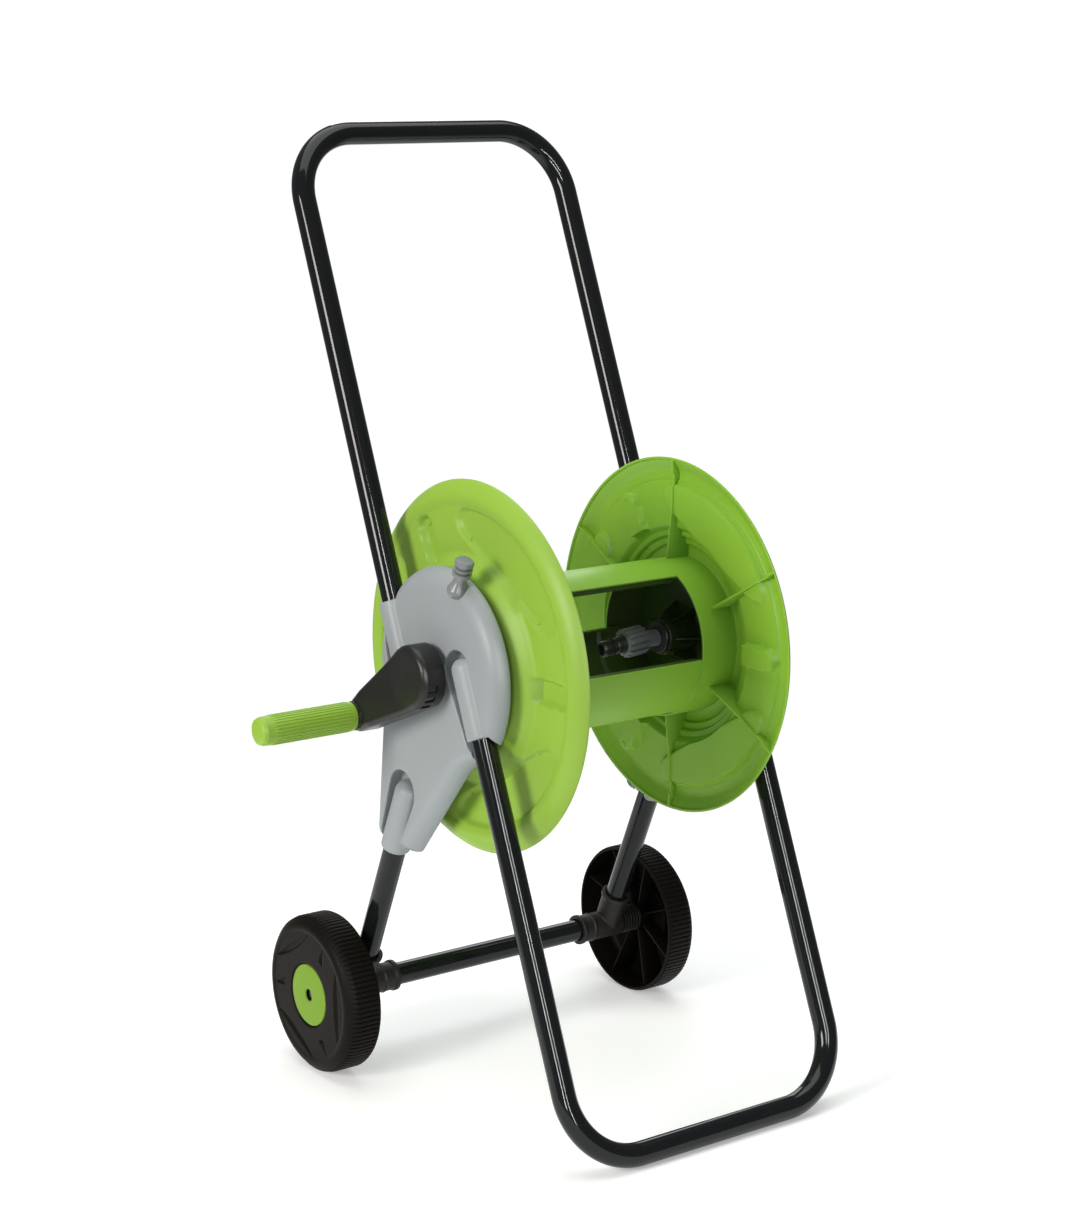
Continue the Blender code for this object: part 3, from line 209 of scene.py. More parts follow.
looks = {
    "lime": mouldedPlastic("limePlastic", {
        "dark": (0.272, 0.470, 0.048), "light": (0.312, 0.522, 0.062), "driftScale": 9, "roughness": 0.42,
        "specular": 0.32, "grainDepth": 0.00003,
    }),
    # a shaded copy of the lime, greener and darker, painting the shade on the drum's inner faces; its
    # core colour paints the deeper shade inside the barrel
    "shadedLime": mouldedPlastic("shadedDrumPlastic", {
        "dark": (0.245, 0.482, 0.036), "light": (0.282, 0.536, 0.048), "driftScale": 9, "roughness": 0.42,
        "specular": 0.32, "grainDepth": 0.00003, "core": (0.040, 0.078, 0.010), "coreRadius": 0.0734,
    }),
    "capLime": mouldedPlastic("hubCapPlastic", {
        "dark": (0.165, 0.305, 0.018), "light": (0.190, 0.338, 0.023), "driftScale": 20,
        "grainScale": 1800, "roughness": 0.50, "specular": 0.20,
    }),
    "gripLime": mouldedPlastic("gripPlastic", {
        "dark": (0.270, 0.480, 0.038), "light": (0.315, 0.535, 0.050), "driftScale": 30,
        "grainScale": 1600, "roughness": 0.42, "grainGloss": 0.14, "specular": 0.40,
        "grainDepth": 0.00003,
    }),
    "grey": mouldedPlastic("greyPlastic", {
        "dark": (0.300, 0.332, 0.348), "light": (0.335, 0.366, 0.380), "driftScale": 12,
        "roughness": 0.42, "grainGloss": 0.12, "specular": 0.45, "grainDepth": 0.00003,
    }),
    "black": mouldedPlastic("blackPlastic", {
        "dark": (0.0105, 0.0105, 0.0100), "light": (0.0165, 0.0162, 0.0150), "driftScale": 25,
        "grainScale": 1700, "roughness": 0.33, "specular": 0.36,
    }),
    "wheel": mouldedPlastic("wheelPlastic", {
        "dark": (0.0058, 0.0045, 0.0033), "light": (0.0092, 0.0074, 0.0056), "driftScale": 16,
        "grainScale": 900, "roughness": 0.46, "grainGloss": 0.14, "specular": 0.07, "grainDepth": 0.00005,
    }),
    "bracket": mouldedPlastic("bracketPlastic", {
        "dark": (0.0140, 0.0120, 0.0105), "light": (0.0210, 0.0185, 0.0165), "driftScale": 20,
        "grainScale": 1100, "roughness": 0.46, "grainGloss": 0.12, "specular": 0.26,
        "grainDepth": 0.00004,
    }),
    "fitting": mouldedPlastic("fittingPlastic", {
        "dark": (0.300, 0.312, 0.345), "light": (0.370, 0.385, 0.420), "driftScale": 40,
        "grainScale": 1800, "roughness": 0.38, "specular": 0.45,
    }),
    "nipple": mouldedPlastic("nipplePlastic", {
        "dark": (0.195, 0.210, 0.222), "light": (0.245, 0.262, 0.272), "driftScale": 60,
        "roughness": 0.27, "specular": 0.50,
    }),
    "darkFitting": mouldedPlastic("darkFittingPlastic", {
        "dark": (0.034, 0.036, 0.040), "light": (0.050, 0.052, 0.057), "driftScale": 40,
        "grainScale": 1800, "roughness": 0.34, "specular": 0.50,
    }),
    "rubber": mouldedPlastic("sealRubber", {
        "dark": (0.010, 0.010, 0.010), "light": (0.017, 0.017, 0.017), "driftScale": 50,
        "grainScale": 2200, "roughness": 0.62, "grainGloss": 0.12, "specular": 0.35,
    }),
    "tube": powderCoat("blackPowderCoat", {
        "dark": (0.0060, 0.0072, 0.0082), "light": (0.0090, 0.0108, 0.0120), "driftScale": 9,
        "driftGloss": 0.08, "roughness": 0.11, "specular": 0.20, "coat": 0.24, "coatRoughness": 0.05,
        "coatIor": 1.5, "peelScale": 420, "peelDepth": 0.00002,
    }),
    "steel": zincSteel("zincPlatedSteel", {
        "dark": (0.50, 0.51, 0.53), "light": (0.62, 0.63, 0.64), "cloudScale": 60, "roughness": 0.34,
        "brushScale": 260, "brushStretch": (6, 1, 1), "brushGloss": 0.22, "brushDepth": 0.00002,
    }),
}
print("materials ready:", len(looks))


# ---- drawing tools ----

def softened(points, radius, steps=3, closed=True):
    # rounds every corner of a flat outline or section
    rounded = []
    count = len(points)
    for i, point in enumerate(points):
        if not closed and i in (0, count - 1):
            rounded.append(point)
            continue
        here = Vector(point)
        back = Vector(points[i - 1]) - here
        on = Vector(points[(i + 1) % count]) - here
        if back.length < 1e-7 or on.length < 1e-7:
            continue
        half = back.angle(on) / 2
        if half > 1.50:
            rounded.append(point)
            continue
        reach = min(radius / math.tan(half), 0.46 * back.length, 0.46 * on.length)
        start = here + back.normalized() * reach
        end = here + on.normalized() * reach
        for k in range(steps + 1):
            t = k / steps
            rounded.append(tuple(start * (1 - t) ** 2 + here * 2 * t * (1 - t) + end * t * t))
    return rounded


def arc(centre, radius, first, last, steps):
    return [
        (centre[0] + radius * math.cos(first + (last - first) * k / steps),
         centre[1] + radius * math.sin(first + (last - first) * k / steps))
        for k in range(steps + 1)
    ]


def hull(centreA, radiusA, centreB, radiusB, steps):
    along = Vector(centreB) - Vector(centreA)
    heading = math.atan2(along.y, along.x)
    spread = math.acos((radiusA - radiusB) / along.length)
    points = arc(centreB, radiusB, heading - spread, heading + spread, steps)
    return points + arc(centreA, radiusA, heading + spread, heading + tau - spread, steps)


def lathe(profile, segments, start=0.0, sweep=tau):
    # turns an (x, radius) section about the X axis; one that ends on the axis at both ends is a solid
    bm = bmesh.new()
    full = sweep > tau - 1e-6
    columns = segments if full else segments + 1
    solid = profile[0][1] < 1e-9 and profile[-1][1] < 1e-9
    poles = {i: bm.verts.new((x, 0, 0)) for i, (x, radius) in enumerate(profile) if radius < 1e-9}
    grid = []
    for k in range(columns):
        angle = start + sweep * k / segments
        c, s = math.cos(angle), math.sin(angle)
        grid.append([poles.get(i) or bm.verts.new((x, r * c, r * s)) for i, (x, r) in enumerate(profile)])
    spans = len(profile) - 1 if solid else len(profile)
    for k in range(segments):
        near, far = grid[k], grid[(k + 1) % columns]
        for i in range(spans):
            j = (i + 1) % len(profile)
            corners = [near[i], near[j], far[j], far[i]]
            unique = [v for n, v in enumerate(corners) if v not in corners[:n]]
            if len(unique) > 2:
                bm.faces.new(unique)
    if not full:
        bm.faces.new(grid[0])
        bm.faces.new(grid[-1])
    bmesh.ops.recalc_face_normals(bm, faces=bm.faces)
    return bm


def sided(profile, side):
    return [(side * x, r) for x, r in profile]


def band(start, end, inside, outside):
    # the section of a ring, or of a bar where its inside is 0
    return [(start, inside), (start, outside), (end, outside), (end, inside)]


def skinned(rings):
    # a closed skin over rings of points, capped at the first and the last
    bm = bmesh.new()
    rings = [[bm.verts.new(point) for point in ring] for ring in rings]
    for ring, following in zip(rings, rings[1:]):
        for i in range(len(ring)):
            j = (i + 1) % len(ring)
            bm.faces.new((ring[i], ring[j], following[j], following[i]))
    bm.faces.new(rings[0])
    bm.faces.new(rings[-1])
    bmesh.ops.recalc_face_normals(bm, faces=bm.faces)
    return bm


def extruded(outline, start, end):
    return skinned([[(x, y, z) for y, z in outline] for x in (start, end)])


def slab(section, thickness, bevel=0.0):
    # a flat rib of an (x, z) section, standing in the middle of Y
    bm = skinned([[(x, y, z) for x, z in section] for y in (-thickness / 2, thickness / 2)])
    if bevel:
        edges = [e for e in bm.edges if e.is_manifold and e.calc_face_angle() > 1.2]
        bmesh.ops.bevel(bm, geom=edges, offset=bevel, segments=2, affect="EDGES", profile=0.5)
    return bm


def add(bm, other):
    mesh = bpy.data.meshes.new("joining")
    other.to_mesh(mesh)
    other.free()
    bm.from_mesh(mesh)
    bpy.data.meshes.remove(mesh)
    return bm


def placedAlong(bm, start, direction):
    # a shape drawn along +X is laid along a (y, z) direction
    heading = Matrix.Rotation(math.atan2(direction[1], direction[0]), 4, "X")
    turn = heading @ Matrix.Rotation(math.pi / 2, 4, "Z")
    bmesh.ops.transform(bm, matrix=Matrix.Translation(start) @ turn, verts=bm.verts)
    return bm


def movedIn(point, spine, inset):
    start, end = Vector(spine[0]), Vector(spine[1])
    along = end - start
    share = max(0, min(1, (Vector(point) - start).dot(along) / along.length_squared))
    towards = start + along * share - Vector(point)
    return Vector(point) + towards.normalized() * min(inset, towards.length)


def dish(outline, spine, levels, lift=None):
    # a dished shell: each level is an (inset, x) ring, from the outer face round to the inner one
    rings = []
    for inset, x in levels:
        ring = [movedIn(point, spine, inset) for point in outline]
        rings.append([(x + (lift(y, z) if lift else 0), y, z) for y, z in ring])
    return skinned(rings)


def dishLevels(side, rim, face, fillet, wall, steps):
    centre = face - fillet
    outer = arc((fillet, centre), fillet, math.pi / 2, math.pi, steps)
    inner = arc((fillet, centre), fillet - wall, math.pi, math.pi / 2, steps)
    straight = [(0, rim), (wall, rim)] if centre - rim > 1e-6 else []
    return [(inset, side * x) for inset, x in outer + straight + inner]


def holder(name, bm):
    # a plain object in the scene for modifiers to work on
    mesh = bpy.data.meshes.new(name)
    bm.to_mesh(mesh)
    bm.free()
    made = bpy.data.objects.new(name, mesh)
    bpy.context.scene.collection.objects.link(made)
    return made


def evaluated(obj):
    # the mesh that an object's modifiers make, as a bmesh; the object is removed
    graph = bpy.context.evaluated_depsgraph_get()
    mesh = bpy.data.meshes.new_from_object(obj.evaluated_get(graph))
    bm = bmesh.new()
    bm.from_mesh(mesh)
    bpy.data.meshes.remove(mesh)
    bpy.data.objects.remove(obj)
    return bm


def melted(bm, voxel, smoothing, keep):
    # joins a shape's parts into one skin with softened corners
    work = holder("work", bm)
    melt = work.modifiers.new("melt", "REMESH")
    melt.mode = "VOXEL"
    melt.voxel_size = voxel
    ease = work.modifiers.new("ease", "SMOOTH")
    ease.factor = 0.5
    ease.iterations = smoothing
    thin = work.modifiers.new("thin", "DECIMATE")
    thin.ratio = keep
    return evaluated(work)


def carved(bm, steps):
    # joins to or cuts from a shape, one tool after another
    work = holder("work", bm)
    tools = []
    for operation, tool in steps:
        helper = holder("tool", tool)
        tools.append(helper)
        modifier = work.modifiers.new(operation, "BOOLEAN")
        modifier.operation = operation
        modifier.solver = "EXACT"
        modifier.object = helper
    done = evaluated(work)
    for helper in tools:
        bpy.data.objects.remove(helper)
    return done


# ---- geometry node trees ----

def newTree(name, inputs):
    tree = bpy.data.node_groups.new(name, "GeometryNodeTree")
    tree.interface.new_socket("Geometry", in_out="INPUT", socket_type="NodeSocketGeometry")
    for label, kind in inputs:
        tree.interface.new_socket(label, in_out="INPUT", socket_type=kind)
    tree.interface.new_socket("Geometry", in_out="OUTPUT", socket_type="NodeSocketGeometry")
    return tree


def ready(tree, kind, sockets, settings=None):
    made = tree.nodes.new(kind)
    for key, value in (settings or {}).items():
        setattr(made, key, value)
    for key, value in sockets.items():
        if isinstance(value, bpy.types.NodeSocket):
            tree.links.new(value, made.inputs[key])
        else:
            made.inputs[key].default_value = value
    return made


def closeTree(tree, geometry, material):
    real = ready(tree, "GeometryNodeRealizeInstances", {"Geometry": geometry})
    coat = ready(tree, "GeometryNodeSetMaterial", {"Geometry": real.outputs[0], "Material": material})
    tree.links.new(coat.outputs[0], tree.nodes.new("NodeGroupOutput").inputs[0])


def aroundTree():
    # copies a shape round the X axis
    tree = newTree("copiesRoundTheAxis", [
        ("Count", "NodeSocketInt"), ("First Turn", "NodeSocketFloat"), ("Material", "NodeSocketMaterial"),
    ])
    given = tree.nodes.new("NodeGroupInput")
    points = ready(tree, "GeometryNodePoints", {"Count": given.outputs["Count"]})
    index = tree.nodes.new("GeometryNodeInputIndex")
    step = ready(tree, "ShaderNodeMath", {0: tau, 1: given.outputs["Count"]}, {"operation": "DIVIDE"})
    angle = ready(
        tree, "ShaderNodeMath", {0: index.outputs[0], 1: step.outputs[0], 2: given.outputs["First Turn"]},
        {"operation": "MULTIPLY_ADD"},
    )
    turn = ready(tree, "ShaderNodeCombineXYZ", {"X": angle.outputs[0]})
    spin = ready(tree, "FunctionNodeEulerToRotation", {0: turn.outputs[0]})
    copies = ready(tree, "GeometryNodeInstanceOnPoints", {
        "Points": points.outputs[0], "Instance": given.outputs["Geometry"], "Rotation": spin.outputs[0],
    })
    closeTree(tree, copies.outputs[0], given.outputs["Material"])
    return tree


def tubeTree():
    # a round tube along a path, with its corners bent
    tree = newTree("bentTube", [
        ("Tube Radius", "NodeSocketFloat"), ("Bend Radius", "NodeSocketFloat"),
        ("Bend Steps", "NodeSocketInt"), ("Sides", "NodeSocketInt"), ("Material", "NodeSocketMaterial"),
    ])
    given = tree.nodes.new("NodeGroupInput")
    path = ready(tree, "GeometryNodeMeshToCurve", {0: given.outputs["Geometry"]})
    bent = ready(tree, "GeometryNodeFilletCurve", {"Curve": path.outputs[0]})
    for socket in bent.inputs:
        if socket.name == "Radius":
            tree.links.new(given.outputs["Bend Radius"], socket)
        if socket.name == "Count":
            tree.links.new(given.outputs["Bend Steps"], socket)
        if socket.name == "Limit Radius":
            socket.default_value = True
    if hasattr(bent, "mode"):
        bent.mode = "POLY"
    ring = ready(tree, "GeometryNodeCurvePrimitiveCircle", {
        "Resolution": given.outputs["Sides"], "Radius": given.outputs["Tube Radius"],
    })
    skin = ready(tree, "GeometryNodeCurveToMesh", {
        "Curve": bent.outputs[0], "Profile Curve": ring.outputs[0], "Fill Caps": True,
    })
    closeTree(tree, skin.outputs[0], given.outputs["Material"])
    return tree


aroundAxis = aroundTree()
bentTube = tubeTree()


def grown(bm, tree, values):
    # runs a tree on a shape and gives back the plain mesh
    work = holder("work", bm)
    modifier = work.modifiers.new("grow", "NODES")
    names = {item.name: item.identifier for item in tree.interface.items_tree if item.in_out == "INPUT"}
    modifier.node_group = tree
    for label, value in values.items():
        modifier[names[label]] = value
    return evaluated(work)


def copiesRound(bm, count, firstTurn=0.0, look="lime"):
    return grown(bm, aroundAxis, {"Count": count, "First Turn": firstTurn, "Material": looks[look]})


def finished(name, bm, origin, body, look, nodes=(), sharp=32, bevel=None):
    # a piece of the visual model, its place in its mesh
    bmesh.ops.translate(bm, verts=bm.verts, vec=origin)
    if bevel:
        edges = [e for e in bm.edges if e.is_manifold and e.calc_face_angle() > math.radians(sharp)]
        bmesh.ops.bevel(bm, geom=edges, offset=bevel, segments=2, affect="EDGES", clamp_overlap=True)
    mesh = bpy.data.meshes.new(name)
    bm.to_mesh(mesh)
    bm.free()
    mesh.materials.clear()
    mesh.materials.append(looks[look])
    for face in mesh.polygons:
        face.material_index = 0
    mesh.shade_smooth()
    mesh.set_sharp_from_angle(angle=math.radians(sharp))
    piece = bpy.data.objects.new(name, mesh)
    bpy.context.scene.collection.objects.link(piece)
    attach(piece, body)
    if nodes:
        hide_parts(*nodes)
    return piece


# ---- tubes ----

tubes = {
    "radius": 0.011, "bendRadius": 0.066, "bendSteps": 28, "sides": 40, "gauge": 0.1514,
    "lean": math.radians(22.2), "legLean": math.radians(23.7), "legStart": 0.0170, "legEnd": 0.2350,
}


def tubePiece(name, path, nodes):
    bm = bmesh.new()
    points = [bm.verts.new(point) for point in path]
    for pair in zip(points, points[1:]):
        bm.edges.new(pair)
    skin = grown(bm, bentTube, {
        "Tube Radius": tubes["radius"], "Bend Radius": tubes["bendRadius"],
        "Bend Steps": tubes["bendSteps"], "Sides": tubes["sides"], "Material": looks["tube"],
    })
    bmesh.ops.recalc_face_normals(skin, faces=skin.faces)
    return finished(name, skin, (0, 0, 0), "frame", "tube", nodes)


def uPath(node, corner, away):
    # from one end down to the cross bar, along it, and back, in the plane that the tube leans in
    low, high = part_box(node)
    reach = tubes["radius"]
    across = Vector((tubes["gauge"], 0, 0))
    lean = tubes["lean"]
    length = (high.z - low.z - reach) / math.cos(lean) - tubes["radius"] * math.tan(lean)
    bar = Vector((cartX, *corner(low, high)))
    return [bar - across + away * length, bar - across, bar + across, bar + across + away * length]


def topCorner(low, high):
    return high.y - tubes["radius"], high.z - tubes["radius"]


def footCorner(low, high):
    return low.y + tubes["radius"], low.z + tubes["radius"]


leanUp = Vector((0, math.sin(tubes["lean"]), math.cos(tubes["lean"])))
tubePiece("handleTube", uPath("handle_tube", topCorner, -leanUp), ["handle_tube"])
tubePiece("footTube", uPath("foot_tube", footCorner, leanUp), ["foot_tube"])
tubePiece("crossTube", [(end.x, *axleCentre.yz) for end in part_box("cross_tube")], ["cross_tube"])
legUp = Vector((0, -math.sin(tubes["legLean"]), math.cos(tubes["legLean"])))
for side, word in words.items():
    foot = axleCentre + Vector((side * tubes["gauge"], 0, 0))
    ends = [foot + legUp * tubes["legStart"], foot + legUp * tubes["legEnd"]]
    tubePiece("legTube" + word.capitalize(), ends, ["leg_tube_" + word])
print("tubes bent")


# ---- side plates ----

plate = {
    "radius": 0.0965, "rim": 0.1422, "fillet": 0.0168, "wall": 0.0028, "back": 0.1409, "arcEnd": 224,
    "corners": ((-0.0385, -0.0810), (0.046, -0.182), (0.1065, -0.179), (0.0940, -0.042)),
    "bends": (0.05, 0.010, 0.012, 0.09), "spineEnd": (0.0755, -0.148),
    "socketDepth": 0.066, "socketWall": 0.0029, "dome": 0.0085, "bore": 0.0113,
    "slotFloor": 0.1445, "slotNear": 0.001, "slotFar": 0.0635,
    "slots": {
        "foot": (0.0190, 0.0060, 0.0146, 0.0032), "handle": (0.0180, 0.0048, 0.0136, 0.0020),
        "leg": (0.0206, 0.0034, 0.0154, 0.0022),
    },
    "boreFloor": 0.064, "voxel": 0.00105, "smoothing": 5, "keep": 0.42,
}
plate["face"] = plate["rim"] + plate["fillet"]
sockets = {
    "foot": (Vector((-0.0467 - 0.0474 * math.tan(tubes["lean"]), -0.0474)), Vector(leanUp.yz)),
    "handle": (Vector((0.0546 + 0.0531 * math.tan(tubes["lean"]), 0.0531)), -Vector(leanUp.yz)),
    "leg": (Vector((0.0786, -0.182)), Vector(legUp.yz)),
}


def plateOutline():
    points = arc((0, 0), plate["radius"], 0, math.radians(plate["arcEnd"]), 96)
    corners = [points[-1], *plate["corners"], points[0]]
    for i, bend in enumerate(plate["bends"]):
        points += softened(corners[i : i + 3], bend, 8, closed=False)[1:-1]
    return points


def slotOutline(name, grow):
    mouth, inward = sockets[name]
    wide, shift, narrow, nearShift = plate["slots"][name]
    rear = Vector((inward.y, -inward.x))
    if rear.x < 0:
        rear = -rear
    near = mouth + inward * plate["slotNear"] + rear * nearShift
    far = mouth + inward * plate["slotFar"] + rear * shift
    return hull(far, wide + grow, near, narrow + grow, 28)


def inSockets(side, profile, segments):
    # one turned shape in each of the plate's three sockets
    bm = bmesh.new()
    for mouth, inward in sockets.values():
        place = Vector((side * tubes["gauge"], mouth.x, mouth.y))
        add(bm, placedAlong(lathe(profile, segments), place, inward))
    return bm


def pipeSolids(side):
    radius = plate["bore"] + plate["socketWall"]
    length = plate["socketDepth"] - 0.002
    profile = [(0, 0), (0, radius)] + [
        (length + plate["dome"] * 1.25 * math.sin(t), radius * math.cos(t) ** 0.8) for t in
        [math.pi / 2 * k / 10 for k in range(10)]
    ]
    profile.append((length + plate["dome"] * 1.25, 0))
    return inSockets(side, softened(profile, 0.0006, 2, closed=False), 48)


def plateBores(side):
    wide = plate["bore"] + plate["socketWall"] + 0.0010
    bore, floor = plate["bore"], plate["boreFloor"]
    return inSockets(
        side, [(-0.06, 0), (-0.06, wide), (0, wide), (0, bore), (floor, bore), (floor, 0)], 56
    )


def bearingBore(side):
    return lathe(sided(band(0.12, 0.17, 0, 0.0103), side), 56)


def backTrim(side):
    room = [(-0.3, -0.3), (0.3, -0.3), (0.3, 0.3), (-0.3, 0.3)]
    trim = extruded(room, side * 0.110, side * plate["back"])
    return carved(trim, [("DIFFERENCE", lathe(sided(band(0.10, 0.15, 0, 0.0131), side), 48))])


nipple = {
    "angle": math.radians(112.5), "middle": 0.1556, "root": 0.083, "base": 0.0894, "length": 0.0301,
    "head": 0.0087, "waist": 0.0058, "groove": 0.0028,
}


def parkingNipple(side):
    b, head, waist = nipple["base"], nipple["head"], nipple["waist"]
    steps = [
        (nipple["root"], 0), (nipple["root"], 0.0078), (b - 0.0015, 0.0098), (b + 0.0005, 0.0098),
        (b + 0.0030, 0.0086), (b + 0.0075, waist + 0.0008), (b + 0.0100, waist), (b + 0.0125, waist),
        (b + 0.0140, head - 0.0004), (b + 0.0160, head), (b + 0.0180, head),
        (b + 0.0186, head - nipple["groove"]), (b + 0.0202, head - nipple["groove"]), (b + 0.0208, head),
        (b + 0.0226, head), (b + 0.0232, head - nipple["groove"]), (b + 0.0250, head - nipple["groove"]),
        (b + 0.0256, head), (b + nipple["length"] - 0.0012, head), (b + nipple["length"], head - 0.0012),
        (b + nipple["length"], 0),
    ]
    bm = lathe(softened(steps, 0.0005, 2, closed=False), 56)
    towards = (math.cos(nipple["angle"]), math.sin(nipple["angle"]))
    placedAlong(bm, Vector((side * nipple["middle"], 0, 0)), towards)
    finished("parkingNipple", bm, drumCentre, "frame", "nipple", sharp=40)


def sidePlate(side):
    word = words[side]
    outline = plateOutline()
    spine = ((0, 0), plate["spineEnd"])
    levels = dishLevels(side, plate["rim"], plate["face"], plate["fillet"], plate["wall"], 14)
    core = arc(
        (plate["fillet"], plate["rim"]), plate["fillet"] - plate["wall"] / 2, math.pi / 2, math.pi, 14
    )
    block = dish(outline, spine, [(inset, side * x) for inset, x in core])
    cups, slots = bmesh.new(), bmesh.new()
    floor = plate["slotFloor"]
    for name in sockets:
        add(
            cups,
            extruded(slotOutline(name, 0.0020), side * (floor - 0.0018), side * (plate["face"] - 0.0006))
        )
        add(slots, extruded(slotOutline(name, 0), side * floor, side * (plate["face"] + 0.01)))
    cups = carved(cups, [("INTERSECT", block)])
    sleeve = lathe(sided(band(plate["back"] - 0.002, 0.1585, 0, 0.0130), side), 48)
    body = carved(dish(outline, spine, levels), [
        ("UNION", cups), ("DIFFERENCE", slots), ("UNION", pipeSolids(side)), ("UNION", sleeve),
        ("DIFFERENCE", backTrim(side)),
    ])
    body = melted(body, plate["voxel"], plate["smoothing"], plate["keep"])
    body = carved(body, [("DIFFERENCE", plateBores(side)), ("DIFFERENCE", bearingBore(side))])
    if side == leftSide:
        parkingNipple(side)
    finished(
        "sidePlate" + word.capitalize(), body, drumCentre, "frame", "grey",
        ["side_plate_" + word], sharp=50
    )


for side in words:
    sidePlate(side)
print("side plates moulded")


# ---- drum ----

flange = {
    "radius": 0.1714, "skin": 0.0025, "field": 0.1215, "plateau": 0.1360, "lip": 0.1125, "segments": 432,
    "barrel": 0.0750, "barrelWall": 0.0028, "collar": 0.0920, "panelFace": 0.1143, "pillFace": 0.1125,
    "panelArc": 0.1455, "panelChord": 0.1010, "panelHalf": math.radians(39), "soft": 0.0026,
    "outerSoft": 0.0048, "pillFrom": 0.0975, "pillTo": 0.1375, "pillHalf": 0.0105, "bossAt": 0.1425,
    "panels": (0, 120, 240), "pills": (60, 180, 300), "ribs": 6, "ribThickness": 0.0020, "gussets": 6,
    "lugs": 4,
}


def smoothMax(a, b, k):
    h = max(k - abs(a - b), 0) / k
    return max(a, b) + h * h * k / 4


def easeIn(distance, width):
    t = max(0.0, min(1.0, 0.5 - distance / width))
    return t * t * (3 - 2 * t)


def panelDistance(y, z):
    # how far outside the three broad panels a point is
    best = 1.0
    for degrees in flange["panels"]:
        a = math.radians(degrees)
        along = y * math.cos(a) + z * math.sin(a)
        aside = abs(-y * math.sin(a) + z * math.cos(a))
        edge = aside * math.cos(flange["panelHalf"]) - along * math.sin(flange["panelHalf"])
        inner = flange["panelChord"] - along
        outer = math.hypot(y, z) - flange["panelArc"]
        best = min(best, smoothMax(smoothMax(inner, edge, 0.016), outer, 0.020))
    return best


def pillDistance(y, z):
    # how far outside the three short pills a point is
    best = 1.0
    for degrees in flange["pills"]:
        a = math.radians(degrees)
        along = y * math.cos(a) + z * math.sin(a)
        aside = -y * math.sin(a) + z * math.cos(a)
        beyond = along - max(flange["pillFrom"], min(flange["pillTo"], along))
        best = min(best, math.hypot(beyond, aside) - flange["pillHalf"])
    return best


def flangeSection(side):
    f = flange
    skin, rim, plateau, field = f["skin"], f["radius"], f["plateau"], f["field"]
    outside = [
        (0.1605, 0.0100), (plateau, 0.0100), (plateau, 0.0890), (plateau - 0.0010, 0.0915),
        (0.1292, 0.0955), (0.1278, 0.0995), (0.1236, 0.1030), (field, 0.1065),
    ]
    outside += [(field, 0.1065 + 0.0410 * k / 36) for k in range(1, 37)]
    outside += [
        (field + 0.0003, 0.1492), (field + 0.0012, 0.1510), (field + 0.0018, 0.1535),
        (field + 0.0018, 0.1560), (field + 0.0011, 0.1590), (field - 0.0004, 0.1622),
        (field - 0.0024, 0.1653), (field - 0.0047, 0.1682), (field - 0.0068, 0.1702),
        (field - 0.0084, rim), (f["lip"] + 0.0003, rim),
    ]
    inField = field - skin
    inside = [
        (f["lip"], rim - 0.0004), (f["lip"], rim - 0.0020), (f["lip"] + 0.0004, rim - 0.0024),
        (0.1150, rim - 0.0028), (inField - 0.0026, 0.1655), (inField + 0.0002, 0.1618),
        (inField + 0.0018, 0.1592), (inField + 0.0024, 0.1568), (inField + 0.0024, 0.1512),
        (inField + 0.0018, 0.1498), (inField, 0.1488),
    ]
    inside += [(inField, 0.1490 - 0.0435 * k / 36) for k in range(1, 37)]
    inside += [
        (inField + 0.0006, 0.1040), (0.1236, 0.1015), (0.1252, 0.1000), (0.1252, 0.0955),
        (0.1262, 0.0945), (0.1290, 0.0940), (0.1298, 0.0930), (0.1298, 0.0880), (0.1306, 0.0870),
        (0.1328, 0.0864), (0.1335, 0.0855), (0.1335, f["barrel"] + 0.0015), (0.1325, f["barrel"]),
        (f["collar"] + 0.0004, f["barrel"]), (f["collar"], f["barrel"] - 0.0004),
        (f["collar"], f["barrel"] - f["barrelWall"]), (0.1335, f["barrel"] - f["barrelWall"]),
    ]
    if side == leftSide:
        hub = [(0.1335, 0.0150), (0.1180, 0.0150), (0.1180, 0.0062), (0.1600, 0.0062)]
    else:
        hub = [(0.1335, 0.0175), (0.1000, 0.0175), (0.0995, 0.0170), (0.0995, 0.0066), (0.1605, 0.0066)]
    return outside + inside + hub


def flangeRib():
    # the section of one deep radial rib, with a low notch near the rim
    return [
        (0.1072, 0.0740), (0.1088, 0.0900), (0.1112, 0.1120), (0.1122, 0.1260), (0.1126, 0.1445),
        (0.1146, 0.1460), (0.1146, 0.1560), (0.1126, 0.1580), (0.1126, 0.1695), (0.1150, 0.1695),
        (0.1172, 0.1660), (0.1198, 0.1610), (0.1220, 0.1575), (0.1220, 0.1515), (0.1190, 0.1485),
        (0.1158, 0.1440), (0.1158, 0.1245), (0.1196, 0.1165), (0.1200, 0.1055), (0.1262, 0.1005),
        (0.1262, 0.0950), (0.1310, 0.0935), (0.1345, 0.0850), (0.1345, 0.0740),
    ]


